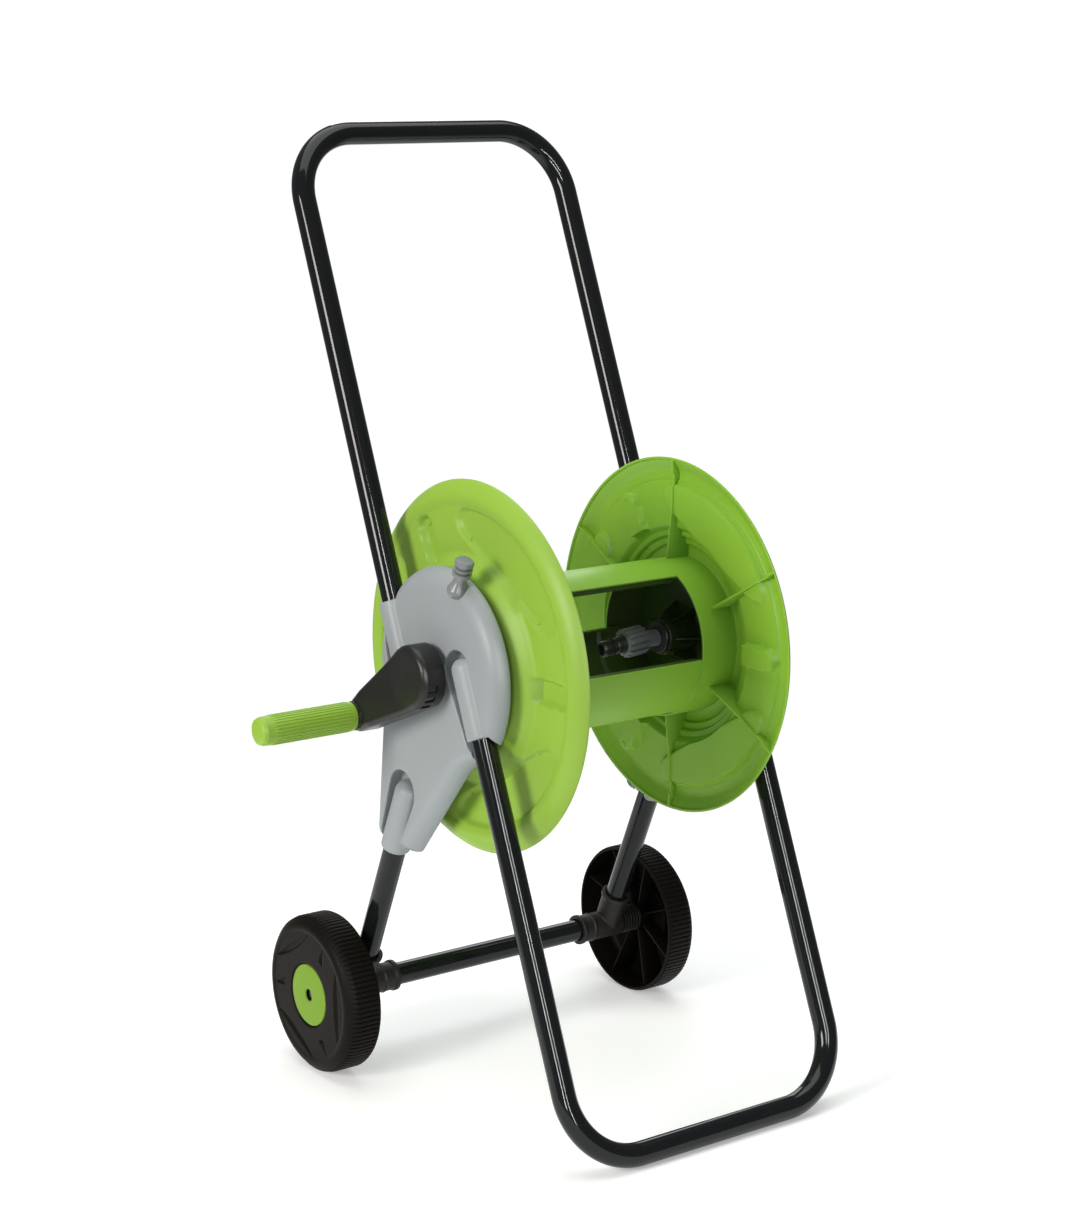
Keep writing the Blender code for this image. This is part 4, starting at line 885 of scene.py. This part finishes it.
def flangePiece(side):
    word = words[side]
    bm = lathe(sided(flangeSection(side), side), flange["segments"], start=math.pi / 2)
    for vert in bm.verts:
        a = abs(vert.co.x)
        radius = math.hypot(vert.co.y, vert.co.z)
        if not (0.1045 < radius < 0.1495 and 0.1165 < a < 0.1225):
            continue
        outer = a > flange["field"] - 0.0001
        depth = flange["skin"] if outer else 0.0
        soft = flange["outerSoft"] if outer else flange["soft"]
        panel = easeIn(panelDistance(vert.co.y, vert.co.z), soft)
        pill = easeIn(pillDistance(vert.co.y, vert.co.z), soft)
        height = a + panel * (flange["panelFace"] + depth - a)
        height += pill * (flange["pillFace"] + depth - height)
        vert.co.x = side * height
    add(bm, copiesRound(slab(sided(flangeRib(), side), flange["ribThickness"], 0.0004), flange["ribs"]))
    for degrees in flange["pills"]:
        # the small round boss at each pill's outer end
        section = softened(
            [(0.1116, 0), (0.1116, 0.0028), (0.1160, 0.0036), (0.1160, 0)], 0.0008, 3, closed=False
        )
        boss = lathe(sided(section, side), 20)
        a = math.radians(degrees)
        shift = (0, flange["bossAt"] * math.cos(a), flange["bossAt"] * math.sin(a))
        bmesh.ops.translate(boss, verts=boss.verts, vec=shift)
        add(bm, boss)
    root = 0.0150 if side == leftSide else 0.0175
    tip = 0.1205 if side == leftSide else 0.1060
    gusset = [
        (0.1340, root - 0.001), (tip, root - 0.001), (tip, root + 0.0012), (0.1318, 0.0330),
        (0.1340, 0.0330)
    ]
    gussets = slab(sided(gusset, side), 0.0018, 0.0003)
    add(bm, copiesRound(gussets, flange["gussets"], tau / flange["gussets"] / 2))
    if side == rightSide:
        lug = sided(band(0.0975, 0.1080, 0.0162, 0.0192), side)
        add(bm, copiesRound(slab(lug, 0.0050, 0.0006), flange["lugs"], tau / flange["lugs"] / 2))
    # painted shade: the right flange, seen from inside, takes the shaded copy of the lime
    look = "lime" if side == leftSide else "shadedLime"
    finished(
        "drumFlange" + word.capitalize(), bm, drumCentre, "drum", look,
        ["flange_" + word], sharp=38,
    )


for side in words:
    flangePiece(side)
print("flanges moulded")

stave = {
    "centres": (92, 212, 332), "half": 26, "outer": 0.0750, "wall": 0.0028, "end": 0.0917, "tip": 0.1040,
    "tongue": 0.0023, "lipLength": 0.088, "lipTop": 0.0728, "lipFoot": 0.0672, "lipSweep": 0.030,
}


def stavePiece(index):
    s = stave
    under = s["outer"] - s["wall"] - 0.0006
    lip = under - s["tongue"]
    section = [
        (-s["end"] + 0.0005, s["outer"]), (s["end"] - 0.0005, s["outer"]),
        (s["end"], s["outer"] - 0.0005), (s["end"], under), (s["tip"] - 0.0004, under),
        (s["tip"], under - 0.0004), (s["tip"], lip), (s["end"] - 0.0100, lip),
        (s["end"] - 0.0130, s["outer"] - s["wall"]), (-s["end"] + 0.0130, s["outer"] - s["wall"]),
        (-s["end"] + 0.0100, lip), (-s["tip"], lip), (-s["tip"], under - 0.0004),
        (-s["tip"] + 0.0004, under), (-s["end"], under), (-s["end"], s["outer"] - 0.0005),
    ]
    start, sweep = math.radians(s["centres"][index] - s["half"]), math.radians(2 * s["half"])
    bm = lathe(section, 44, start, sweep)
    long, top, foot = s["lipLength"], s["lipTop"], s["lipFoot"]
    for turn in (start, start + sweep - s["lipSweep"]):
        # a stiffening lip along each long edge
        add(bm, lathe(band(-long, long, foot, top), 1, turn, s["lipSweep"]))
    # painted shade: the staves take the shaded copy of the lime
    finished(
        "drumStave" + str(index + 1), bm, drumCentre, "drum", "shadedLime",
        ["drum_stave_" + str(index + 1)], sharp=30,
    )


for index in range(3):
    stavePiece(index)
print("barrel staves set")


# ---- crank ----

crank = {
    "throw": 0.0882, "angle": math.radians(-33.0), "bossRadius": 0.0295, "tipRadius": 0.0155,
    "inner": 0.1660, "face": 0.1895, "fillet": 0.0066, "wall": 0.0026, "rise": 0.0086, "riseFrom": 0.0262,
    "notches": (192, 214, 236), "notch": (0.0062, 0.0050),
}


def crankLift(y, z):
    run = crank["throw"] - crank["tipRadius"] - crank["riseFrom"]
    share = (math.hypot(y, z) - crank["riseFrom"]) / run if y > 0 else 0
    return -crank["rise"] * max(0, min(1, share))


def crankArm():
    c = crank
    outline = hull((0, 0), c["bossRadius"], (c["throw"], 0), c["tipRadius"], 40)
    dense = []
    for i, point in enumerate(outline):
        onward = outline[(i + 1) % len(outline)]
        gap = (Vector(onward) - Vector(point)).length
        pieces = max(1, int(gap / 0.0025))
        dense += [tuple(Vector(point).lerp(Vector(onward), k / pieces)) for k in range(pieces)]
    spine = ((0, 0), (c["throw"], 0))
    levels = dishLevels(leftSide, c["inner"], c["face"], c["fillet"], c["wall"], 8)
    # the outer face gets rings towards its middle, so that it can carry the arm's rise
    inset = c["fillet"]
    extra = [(inset + 0.0234 * k / 12, -c["face"]) for k in range(12, 0, -1)]
    inner = [(inset + 0.0234 * k / 12, -(c["face"] - c["wall"])) for k in range(1, 13)]
    bm = dish(dense, spine, extra + levels + inner, crankLift)
    bmesh.ops.remove_doubles(bm, verts=bm.verts, dist=1e-6)
    bmesh.ops.recalc_face_normals(bm, faces=bm.faces)
    turn = Matrix.Rotation(c["angle"], 4, "X")
    bmesh.ops.transform(bm, matrix=turn, verts=bm.verts)
    cuts = []
    for degrees in c["notches"]:
        a = math.radians(degrees)
        wide, tall = c["notch"]
        box = softened(
            [(-wide / 2, -tall), (wide / 2, -tall), (wide / 2, tall), (-wide / 2, tall)], 0.0007, 2
        )
        tool = extruded(box, -(c["face"] - 0.0150), -(c["face"] - 0.0052))
        bmesh.ops.transform(tool, matrix=Matrix.Rotation(a - math.pi / 2, 4, "X"), verts=tool.verts)
        bmesh.ops.translate(
            tool, verts=tool.verts, vec=(0, c["bossRadius"] * math.cos(a), c["bossRadius"] * math.sin(a))
        )
        cuts.append(("DIFFERENCE", tool))
    bm = carved(bm, cuts)
    half = 0.0057
    square = softened([(-half, -half), (half, -half), (half, half), (-half, half)], 0.0006, 2)
    shaft = extruded(square, -0.1200, -(c["face"] - 0.0010))
    bmesh.ops.transform(shaft, matrix=turn, verts=shaft.verts)
    add(bm, shaft)
    collar = lathe(softened([
        (-0.1930, 0), (-0.1930, 0.0136), (-0.2001, 0.0136), (-0.2001, 0.0060), (-0.2898, 0.0060),
        (-0.2898, 0),
    ], 0.0005, 2, closed=False), 40)
    bmesh.ops.translate(collar, verts=collar.verts, vec=gripCentre - drumCentre)
    add(bm, collar)
    return finished("crankArm", bm, drumCentre, "drum", "black", ["crank_arm"], sharp=34)


crankArm()

grip = {
    "start": 0.2003, "end": 0.3000, "radius": 0.0134, "ribs": 30, "ribHeight": 0.0006, "bore": 0.0063,
    "boreEnd": 0.2903,
}


def crankGrip():
    s, e, radius = grip["start"], grip["end"], grip["radius"]
    profile = [
        (s, grip["bore"]), (s, radius - 0.0012), (s + 0.0012, radius), (s + 0.0050, radius + 0.0002)
    ]
    profile += [(e - 0.0140, radius + 0.0001), (e - 0.0050, radius - 0.0002)]
    profile += [
        (e - 0.0018, radius - 0.0014), (e - 0.0004, radius - 0.0040), (e, radius - 0.0070), (e, 0)
    ]
    profile = softened(profile, 0.0010, 3, closed=False)
    profile += [(grip["boreEnd"], 0), (grip["boreEnd"], grip["bore"])]
    bm = lathe(sided(profile, leftSide), 72)
    top = radius + grip["ribHeight"]
    rib = slab(sided([
        (s + 0.0040, radius - 0.0008), (s + 0.0055, top - 0.0001), (s + 0.0080, top), (e - 0.0170, top),
        (e - 0.0130, top - 0.0002), (e - 0.0105, radius - 0.0008),
    ], leftSide), 0.0013, 0.0004)
    add(bm, copiesRound(rib, grip["ribs"], 0.0, "gripLime"))
    finished("crankGrip", bm, gripCentre, "grip", "gripLime", ["crank_grip"], sharp=34)


crankGrip()
print("crank fitted")


# ---- water way ----

water = {
    "outside": 0.0061, "bore": 0.0040, "neck": 0.0078, "nutRibs": 14, "tilt": math.radians(5),
    "nutMiddle": 0.0670, "sealShare": 0.557,
}


def ringPiece(name, section, node, look, body="drum", round=0.0003, segments=48, matrix=None):
    bm = lathe(softened(section, round, 2), segments)
    if matrix:
        bmesh.ops.transform(bm, matrix=matrix, verts=bm.verts)
    return finished(name, bm, drumCentre, body, look, [node])


ringPiece("hubPipe", [
    (0.0700, water["bore"]), (0.0700, water["neck"]), (0.0955, water["neck"]), (0.0955, water["outside"]),
    (0.1860, water["outside"]), (0.1860, water["bore"]),
], "hub_pipe", "fitting")
ringPiece("outletWasher", [
    (0.0962, 0.0066), (0.0962, 0.0148), (0.0968, 0.0155), (0.0990, 0.0155), (0.0990, 0.0066),
], "outlet_washer", "darkFitting", round=0.0005)

nutPlace = Matrix.Translation((water["nutMiddle"], 0, 0))
tilt = nutPlace @ Matrix.Rotation(-water["tilt"], 4, "Y") @ nutPlace.inverted()


def outletNut():
    body = lathe(softened([
        (0.0552, 0.0081), (0.0552, 0.0108), (0.0560, 0.0115), (0.0782, 0.0115), (0.0788, 0.0108),
        (0.0788, 0.0098), (0.0572, 0.0098), (0.0572, 0.0081),
    ], 0.0004, 2), 72)
    rib = slab([(0.0556, 0.0108), (0.0564, 0.0139), (0.0778, 0.0139), (0.0785, 0.0108)], 0.0031, 0.0008)
    add(body, copiesRound(rib, water["nutRibs"], 0.0, "fitting"))
    bmesh.ops.transform(body, matrix=tilt, verts=body.verts)
    finished(
        "outletNut", body, drumCentre, "drum", "fitting", ["outlet_nut"], sharp=40
    )


def connectorSection(start, end, root, head):
    # click-on hose connector: neck, a raised collar, the O-ring's groove and a rounded mouth
    run = end - start
    marks = (
        (0.00, root), (0.26, root), (0.30, head), (0.40, head), (0.42, head - 0.0007),
        (0.48, head - 0.0007), (0.50, head), (0.515, head), (0.525, head - 0.0010),
        (0.590, head - 0.0010), (0.600, head), (0.90, head), (0.97, head - 0.0006), (1.00, head - 0.0014),
    )
    return [(start + run * share, radius) for share, radius in marks]


outletNut()
ringPiece("outletNipple", [
    (0.0681, 0.0045), (0.0681, 0.0091), (0.0577, 0.0091),
    *connectorSection(0.0577, 0.0290, 0.0077, 0.0077), (0.0290, 0.0045),
], "outlet_nipple", "darkFitting", matrix=tilt)
sealAt = 0.0577 - 0.0287 * water["sealShare"]
ringPiece(
    "outletSeal", band(sealAt - 0.0009, sealAt + 0.0009, 0.0069, 0.0082), "outlet_seal", "rubber",
    round=0.0006, matrix=tilt,
)


def hubPipeNut():
    low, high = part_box("hub_pipe_nut")
    start, end = low.x - cartX, high.x - cartX
    outline = arc((0, 0), 0.0090, 0, tau * 5 / 6, 5)
    outline = softened(outline, 0.0012, 4)
    bm = carved(
        extruded(outline, start, end),
        [("DIFFERENCE", lathe(band(start - 0.01, end + 0.01, 0, 0.0065), 48))]
    )
    finished(
        "hubPipeNut", bm, drumCentre, "drum", "darkFitting", ["hub_pipe_nut"],
        bevel=0.0003
    )


hubPipeNut()

inlet = {"inner": 0.1645, "outer": 0.1905, "radius": 0.0122, "bore": 0.0083, "reach": 0.0500, "ribs": 16}


def inletElbow():
    i = inlet
    middleX = (i["inner"] + i["outer"]) / 2
    barrel = lathe(softened([
        (i["inner"], 0), (i["inner"], i["radius"]), (i["inner"] + 0.0030, i["radius"]),
        (i["inner"] + 0.0034, i["radius"] - 0.0008), (i["outer"] - 0.0075, i["radius"] - 0.0008),
        (i["outer"] - 0.0035, i["radius"] - 0.0018), (i["outer"], 0.0070), (i["outer"], 0),
    ], 0.0010, 4, closed=False), 64)
    arm = [
        (0.0020, 0), (0.0020, 0.0087), (0.0262, 0.0087), (0.0262, 0.0112), (0.0268, 0.0117),
        (0.0284, 0.0117), (0.0290, 0.0112), (0.0290, 0.0072)
    ]
    arm += connectorSection(0.0290, i["reach"], 0.0072, 0.0077) + [(i["reach"], 0)]
    arm = placedAlong(lathe(softened(arm, 0.0003, 2, closed=False), 56), Vector((middleX, 0, 0)), (0, -1))
    way = lathe(band(i["inner"] - 0.01, i["outer"] - 0.0025, 0, i["bore"]), 48)
    drop = placedAlong(lathe(band(0.0045, 0.06, 0, 0.0045), 40), Vector((middleX, 0, 0)), (0, -1))
    bm = carved(barrel, [("UNION", arm), ("DIFFERENCE", way), ("DIFFERENCE", drop)])
    rib = slab([(0.1680, 0.0108), (0.1685, 0.0124), (0.1820, 0.0124), (0.1828, 0.0108)], 0.0012, 0.0003)
    ribs = copiesRound(rib, i["ribs"], tau / i["ribs"] / 2, "fitting")
    inTheWay = [v for v in ribs.verts if v.co.z < -0.0085]  # where the arm goes down
    bmesh.ops.delete(ribs, geom=inTheWay, context="VERTS")
    add(bm, ribs)
    finished(
        "inletElbow", bm, drumCentre, "inlet", "fitting", ["inlet_elbow"], sharp=36
    )
    seal = 0.0290 + (i["reach"] - 0.0290) * water["sealShare"]
    ring = lathe(softened(band(seal - 0.0008, seal + 0.0008, 0.0069, 0.0082), 0.0006, 3), 48)
    placedAlong(ring, Vector((middleX, 0, 0)), (0, -1))
    finished("connectorSeal", ring, drumCentre, "inlet", "rubber", ["connector_seal"])


inletElbow()
for name, node in (("swivelSealInner", "swivel_seal_inner"), ("swivelSealOuter", "swivel_seal_outer")):
    low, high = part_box(node)
    section = band(low.x - cartX, high.x - cartX, 0.0065, 0.0080)
    ringPiece(name, section, node, "rubber", body="inlet", round=0.0007)
print("water way assembled")


# ---- wheels and axle ----

wheel = {
    "radius": 0.0764, "inner": 0.1740, "outer": 0.2097, "skin": 0.0030, "shoulder": 0.0108,
    "segments": 360, "treadRibs": 100, "tread": 0.0011, "ribs": 8, "hub": 0.0120, "hubInner": 0.1870,
    "hubOuter": 0.2002, "marks": 3, "markTurn": math.radians(178), "chord": 0.0500, "chordHalf": 0.0335,
    "markDepth": 0.0021,
}


def wheelGroove(y, z):
    # depth of the moulded marks on the outer face: three long chords, three short commas between them
    depth = 0.0
    for k in range(wheel["marks"]):
        a = wheel["markTurn"] + tau * k / wheel["marks"]
        along = y * math.cos(a) + z * math.sin(a)
        aside = -y * math.sin(a) + z * math.cos(a)
        share = aside / wheel["chordHalf"]
        if abs(share) < 1:
            width = 0.0030 * (1 - share * share)
            depth = max(
                depth, easeIn(abs(along - wheel["chord"] - 0.0012 * share * share) - width, 0.0022)
            )
        a += tau / (2 * wheel["marks"])
        along = y * math.cos(a) + z * math.sin(a)
        aside = -y * math.sin(a) + z * math.cos(a)
        share = (along - 0.0445) / 0.0175
        if 0 <= share <= 1:
            width = 0.0030 * (1 - share) ** 1.3
            depth = max(
                depth, (1 - share) ** 0.5 * easeIn(abs(aside - 0.0030 * (1 - share) ** 3) - width, 0.0016)
            )
    return depth * wheel["markDepth"]


def wheelPiece(side):
    w = wheel
    word = words[side]
    face = w["outer"] - 0.0008
    pocket = 0.2052
    base = w["radius"] - w["tread"]
    shoulder = arc(
        (w["outer"] - w["shoulder"], base - w["shoulder"]), w["shoulder"], math.pi / 2, 0.08, 12
    )
    under = arc(
        (w["outer"] - w["shoulder"], base - w["shoulder"]), w["shoulder"] - w["skin"], 0.1, math.pi / 2, 8
    )
    section = [
        (w["inner"], base - 0.0012), (w["inner"] + 0.0003, base - 0.0003), (w["inner"] + 0.0012, base)
    ]
    section += [(x - 0.0001, radius) for x, radius in shoulder]
    section += [(face + 0.0005, base - w["shoulder"] - 0.0010), (face, base - w["shoulder"] - 0.0026)]
    first, last = base - w["shoulder"] - 0.0036, 0.0330
    section += [(face, first + (last - first) * k / 34) for k in range(35)]
    section += [
        (face - 0.0002, 0.0316), (face - 0.0010, 0.0308), (pocket, 0.0306), (pocket, 0.0091),
        (w["hubOuter"], 0.0091), (w["hubOuter"], 0.0043), (w["hubInner"], 0.0043),
        (w["hubInner"], w["hub"] - 0.0006), (w["hubInner"] + 0.0006, w["hub"]),
        (pocket - w["skin"], w["hub"] + 0.0006), (pocket - w["skin"], 0.0335), (face - w["skin"], 0.0335),
    ]
    section += under + [
        (w["inner"] + 0.0004, base - w["skin"] + 0.0004), (w["inner"], base - w["skin"] + 0.0010)
    ]
    bm = lathe(sided(section, side), w["segments"], start=math.pi / 2)
    for vert in bm.verts:
        radius = math.hypot(vert.co.y, vert.co.z)
        if abs(abs(vert.co.x) - face) < 1e-5 and radius > 0.0325:
            vert.co.x -= side * wheelGroove(vert.co.y, vert.co.z)
    inside = [
        (w["hubInner"] + 0.0015, w["hub"] - 0.002), (w["inner"] + 0.0055, base - w["skin"] + 0.0010),
        (w["outer"] - w["shoulder"], base - w["skin"] + 0.0010),
        (face - w["skin"] + 0.0008, base - w["shoulder"]), (face - w["skin"] + 0.0008, 0.0340),
        (pocket - w["skin"] + 0.0008, 0.0320), (pocket - w["skin"] + 0.0008, w["hub"] - 0.002),
    ]
    rib = slab(sided(inside, side), 0.0018, 0.0003)
    add(bm, copiesRound(rib, w["ribs"], tau / w["ribs"] / 2, "wheel"))
    tread = [
        (w["inner"] + 0.0016, base - 0.0006), (w["inner"] + 0.0024, w["radius"] - 0.0001),
        (w["outer"] - w["shoulder"], w["radius"]),
        (w["outer"] - w["shoulder"] + 0.0050, w["radius"] - 0.0014),
        (w["outer"] - w["shoulder"] + 0.0072, base - 0.0036),
    ]
    bar = slab(sided(tread, side), 0.0037, 0.0004)
    add(bm, copiesRound(bar, w["treadRibs"], 0.0, "wheel"))
    finished(
        "wheel" + word.capitalize(), bm, axleCentre, word + "_wheel", "wheel",
        ["wheel_" + word], sharp=40,
    )
    cap = lathe(sided(softened([
        (0.2058, 0.0120), (0.2058, 0.0300), (0.2078, 0.0300), (0.2085, 0.0293), (0.2088, 0.0200),
        (0.2090, 0.0070), (0.2084, 0.0060), (0.2072, 0.0058), (0.2072, 0.0120),
    ], 0.0004, 3), side), 128, start=math.pi / 2)
    finished(
        "hubCap" + word.capitalize(), cap, axleCentre, word + "_wheel", "capLime",
        ["hub_cap_" + word],
    )
    cup = lathe(sided(softened([
        (0.2051, 0), (0.2051, 0.0050), (0.2022, 0.0054), (0.2018, 0.0084), (0.2005, 0.0085),
        (0.2005, 0.0043), (0.2043, 0.0043),
    ], 0.0002, 2, closed=False) + [(0.2043, 0)], side), 40)
    finished(
        "axleCap" + word.capitalize(), cup, axleCentre, "frame", "steel",
        ["axle_cap_" + word]
    )


for side in words:
    wheelPiece(side)
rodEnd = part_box("axle_rod")[1].x - cartX
rod = lathe(softened(band(-rodEnd, rodEnd, 0, 0.0040), 0.0005, 2, closed=False), 32)
finished("axleRod", rod, axleCentre, "frame", "steel", ["axle_rod"])

bracket = {
    "mouth": 0.1120, "bore": 0.0113, "radius": 0.0139, "bead": 0.0013, "beadLength": 0.0042,
    "leg": 0.0400, "bodyEnd": 0.1640, "stub": 0.0095, "fin": 0.0136, "fins": 6, "pitch": 0.0036,
    "finThickness": 0.0015, "ring": 0.0145, "legFloor": 0.0165, "crossFloor": 0.1375, "rodBore": 0.0043,
    "voxel": 0.0006, "smoothing": 3, "keep": 0.40,
}


def bracketPiece(side):
    b = bracket
    word = words[side]
    radius, bead = b["radius"], b["radius"] + b["bead"]
    body = [
        (b["mouth"], 0), (b["mouth"], bead), (b["mouth"] + b["beadLength"], bead),
        (b["mouth"] + b["beadLength"] + 0.0006, radius), (b["mouth"] + b["ring"], radius),
        (b["mouth"] + b["ring"] + 0.0005, radius + 0.0008),
        (b["mouth"] + b["ring"] + 0.0020, radius + 0.0008), (b["mouth"] + b["ring"] + 0.0025, radius),
        (b["bodyEnd"], radius), (b["bodyEnd"], b["stub"]), (0.1864, b["stub"]), (0.1864, 0),
    ]
    place = Vector((side * tubes["gauge"], 0, 0))
    leg = [
        (0.0, 0), (0.0, radius - 0.0004), (b["leg"] - b["beadLength"] - 0.0006, radius - 0.0001),
        (b["leg"] - b["beadLength"], bead), (b["leg"], bead), (b["leg"], 0),
    ]
    sleeve = placedAlong(lathe(softened(leg, 0.0005, 2, closed=False), 56), place, legUp.yz)
    legBore = placedAlong(lathe(band(b["legFloor"], 0.08, 0, b["bore"]), 48), place, legUp.yz)
    crossBore = lathe(sided([
        (0.10, 0), (0.10, b["bore"]), (b["crossFloor"], b["bore"]), (b["crossFloor"], b["rodBore"]),
        (0.20, b["rodBore"]), (0.20, 0),
    ], side), 48)
    bm = carved(lathe(sided(softened(body, 0.0004, 2, closed=False), side), 64), [
        ("UNION", sleeve), ("DIFFERENCE", legBore), ("DIFFERENCE", crossBore),
    ])
    bm = melted(bm, b["voxel"], b["smoothing"], b["keep"])
    for k in range(b["fins"]):
        last = b["bodyEnd"] + (k + 1) * b["pitch"]
        fin = band(last - b["finThickness"], last, b["stub"] - 0.001, b["fin"])
        add(bm, lathe(sided(softened(fin, 0.0003, 2), side), 48))
    finished(
        "axleBracket" + word.capitalize(), bm, axleCentre, "frame", "bracket",
        ["axle_bracket_" + word], sharp=60,
    )


for side in words:
    bracketPiece(side)
print("wheels and axle assembled")


# ---- stage, light and camera ----

studio = {
    "cameraPlace": Vector((-1.3947, -1.8590, 0.9472)), "cameraTurn": math.radians(-36.0303),
    "cameraDip": math.radians(11.9264), "lens": 76.0, "floorRadius": 1.9, "floorFade": (0.55, 1.55),
    "floorTone": (0.93, 0.93, 0.93), "floorGlow": 0.34, "air": 0.20, "wallEdge": (0.88, 0.945),
    "wall": 1.02, "target": (0, 0, 0.40),
    "lamps": {
        "keyBox": {
            "place": (-3.1, -0.40, 1.45), "size": (0.9, 1.3), "power": 76, "tint": (1, 0.95, 0.90)
        },
        "stripBox": {"place": (-1.9, -2.6, 1.20), "size": (0.13, 2.0), "power": 60, "glossOnly": True},
        "thinStrip": {"place": (-0.75, -3.3, 1.10), "size": (0.10, 2.2), "power": 52, "glossOnly": True},
        "topBox": {"place": (0.1, 0.1, 2.7), "size": (2.6, 2.4), "power": 46, "tint": (0.95, 1, 0.98)},
        "backBox": {"place": (1.6, 2.2, 1.9), "size": (1.2, 1.2), "power": 14},
    },
}


def stageFloor():
    # a pale round floor that thins out to the white air behind it
    bm = bmesh.new()
    bmesh.ops.create_circle(bm, cap_ends=True, segments=96, radius=studio["floorRadius"])
    bmesh.ops.translate(bm, verts=bm.verts, vec=(0, 0, cadBounds[0][2] - 0.0002))
    mesh = bpy.data.meshes.new("studioFloor")
    bm.to_mesh(mesh)
    bm.free()
    floor = bpy.data.objects.new("studioFloor", mesh)
    bpy.context.scene.collection.objects.link(floor)
    g = Graph("paleFloor")
    soft = g.cloud(3, 2.0)
    tone = studio["floorTone"]
    near, far = studio["floorFade"]
    away = g.node("ShaderNodeVectorMath", {"operation": "LENGTH"}, {0: g.coords}, "Value")
    fade = g.node(
        "ShaderNodeMapRange", {"interpolation_type": "SMOOTHSTEP"},
        {0: away, 1: near, 2: far, 3: 1.0, 4: 0.0}
    )
    g.set(
        Base_Color=g.mix(soft, tuple(0.985 * t for t in tone), tone), Roughness=0.75,
        Specular_IOR_Level=0.2
    )
    g.set(Emission_Color=(1, 1, 1, 1), Emission_Strength=studio["floorGlow"], Alpha=fade)
    mesh.materials.append(g.material)


def softBox(name, lamp):
    data = bpy.data.lights.new(name, "AREA")
    data.shape = "RECTANGLE"
    data.size, data.size_y = lamp["size"]
    data.energy = lamp["power"]
    data.color = lamp.get("tint", (1, 1, 1))
    box = bpy.data.objects.new(name, data)
    box.location = lamp["place"]
    aim = Vector(studio["target"]) - Vector(lamp["place"])
    box.rotation_euler = aim.to_track_quat("-Z", "Y").to_euler()
    bpy.context.scene.collection.objects.link(box)
    box.visible_diffuse = not lamp.get("glossOnly")


def studioAir():
    # dim all round, bright where the far wall stands, and white to look at
    world = bpy.data.worlds.new("studioAir")
    bpy.context.scene.world = world
    world.use_nodes = True
    nodes, links = world.node_tree.nodes, world.node_tree.links
    background = nodes["Background"]
    background.inputs["Color"].default_value = (1, 1, 1, 1)
    coords = nodes.new("ShaderNodeTexCoord")
    aim = nodes.new("ShaderNodeVectorMath")
    aim.operation = "DOT_PRODUCT"
    turn, dip = studio["cameraTurn"], studio["cameraDip"]
    aim.inputs[1].default_value = (
        -math.sin(turn) * math.cos(dip), math.cos(turn) * math.cos(dip), -math.sin(dip)
    )
    links.new(coords.outputs["Generated"], aim.inputs[0])
    wall = nodes.new("ShaderNodeMapRange")
    wall.interpolation_type = "SMOOTHSTEP"
    for index, value in enumerate((*studio["wallEdge"], studio["air"], studio["wall"]), 1):
        wall.inputs[index].default_value = value
    links.new(aim.outputs["Value"], wall.inputs[0])
    seen = nodes.new("ShaderNodeLightPath")
    white = nodes.new("ShaderNodeMath")
    white.operation = "MAXIMUM"
    links.new(seen.outputs["Is Camera Ray"], white.inputs[0])
    links.new(wall.outputs[0], white.inputs[1])
    links.new(white.outputs[0], background.inputs["Strength"])


def placeCamera():
    data = bpy.data.cameras.new("studioCamera")
    data.lens = studio["lens"]
    data.sensor_width = 36.0
    data.clip_end = 50
    camera = bpy.data.objects.new("studioCamera", data)
    camera.location = studio["cameraPlace"] + Vector((cartX, drumCentre.y, 0))
    camera.rotation_euler = (math.pi / 2 - studio["cameraDip"], 0, studio["cameraTurn"])
    bpy.context.scene.collection.objects.link(camera)
    bpy.context.scene.camera = camera


stageFloor()
studioAir()
for name, lamp in studio["lamps"].items():
    softBox(name, lamp)
placeCamera()
bpy.context.scene.view_settings.view_transform = "Standard"
print("studio ready")
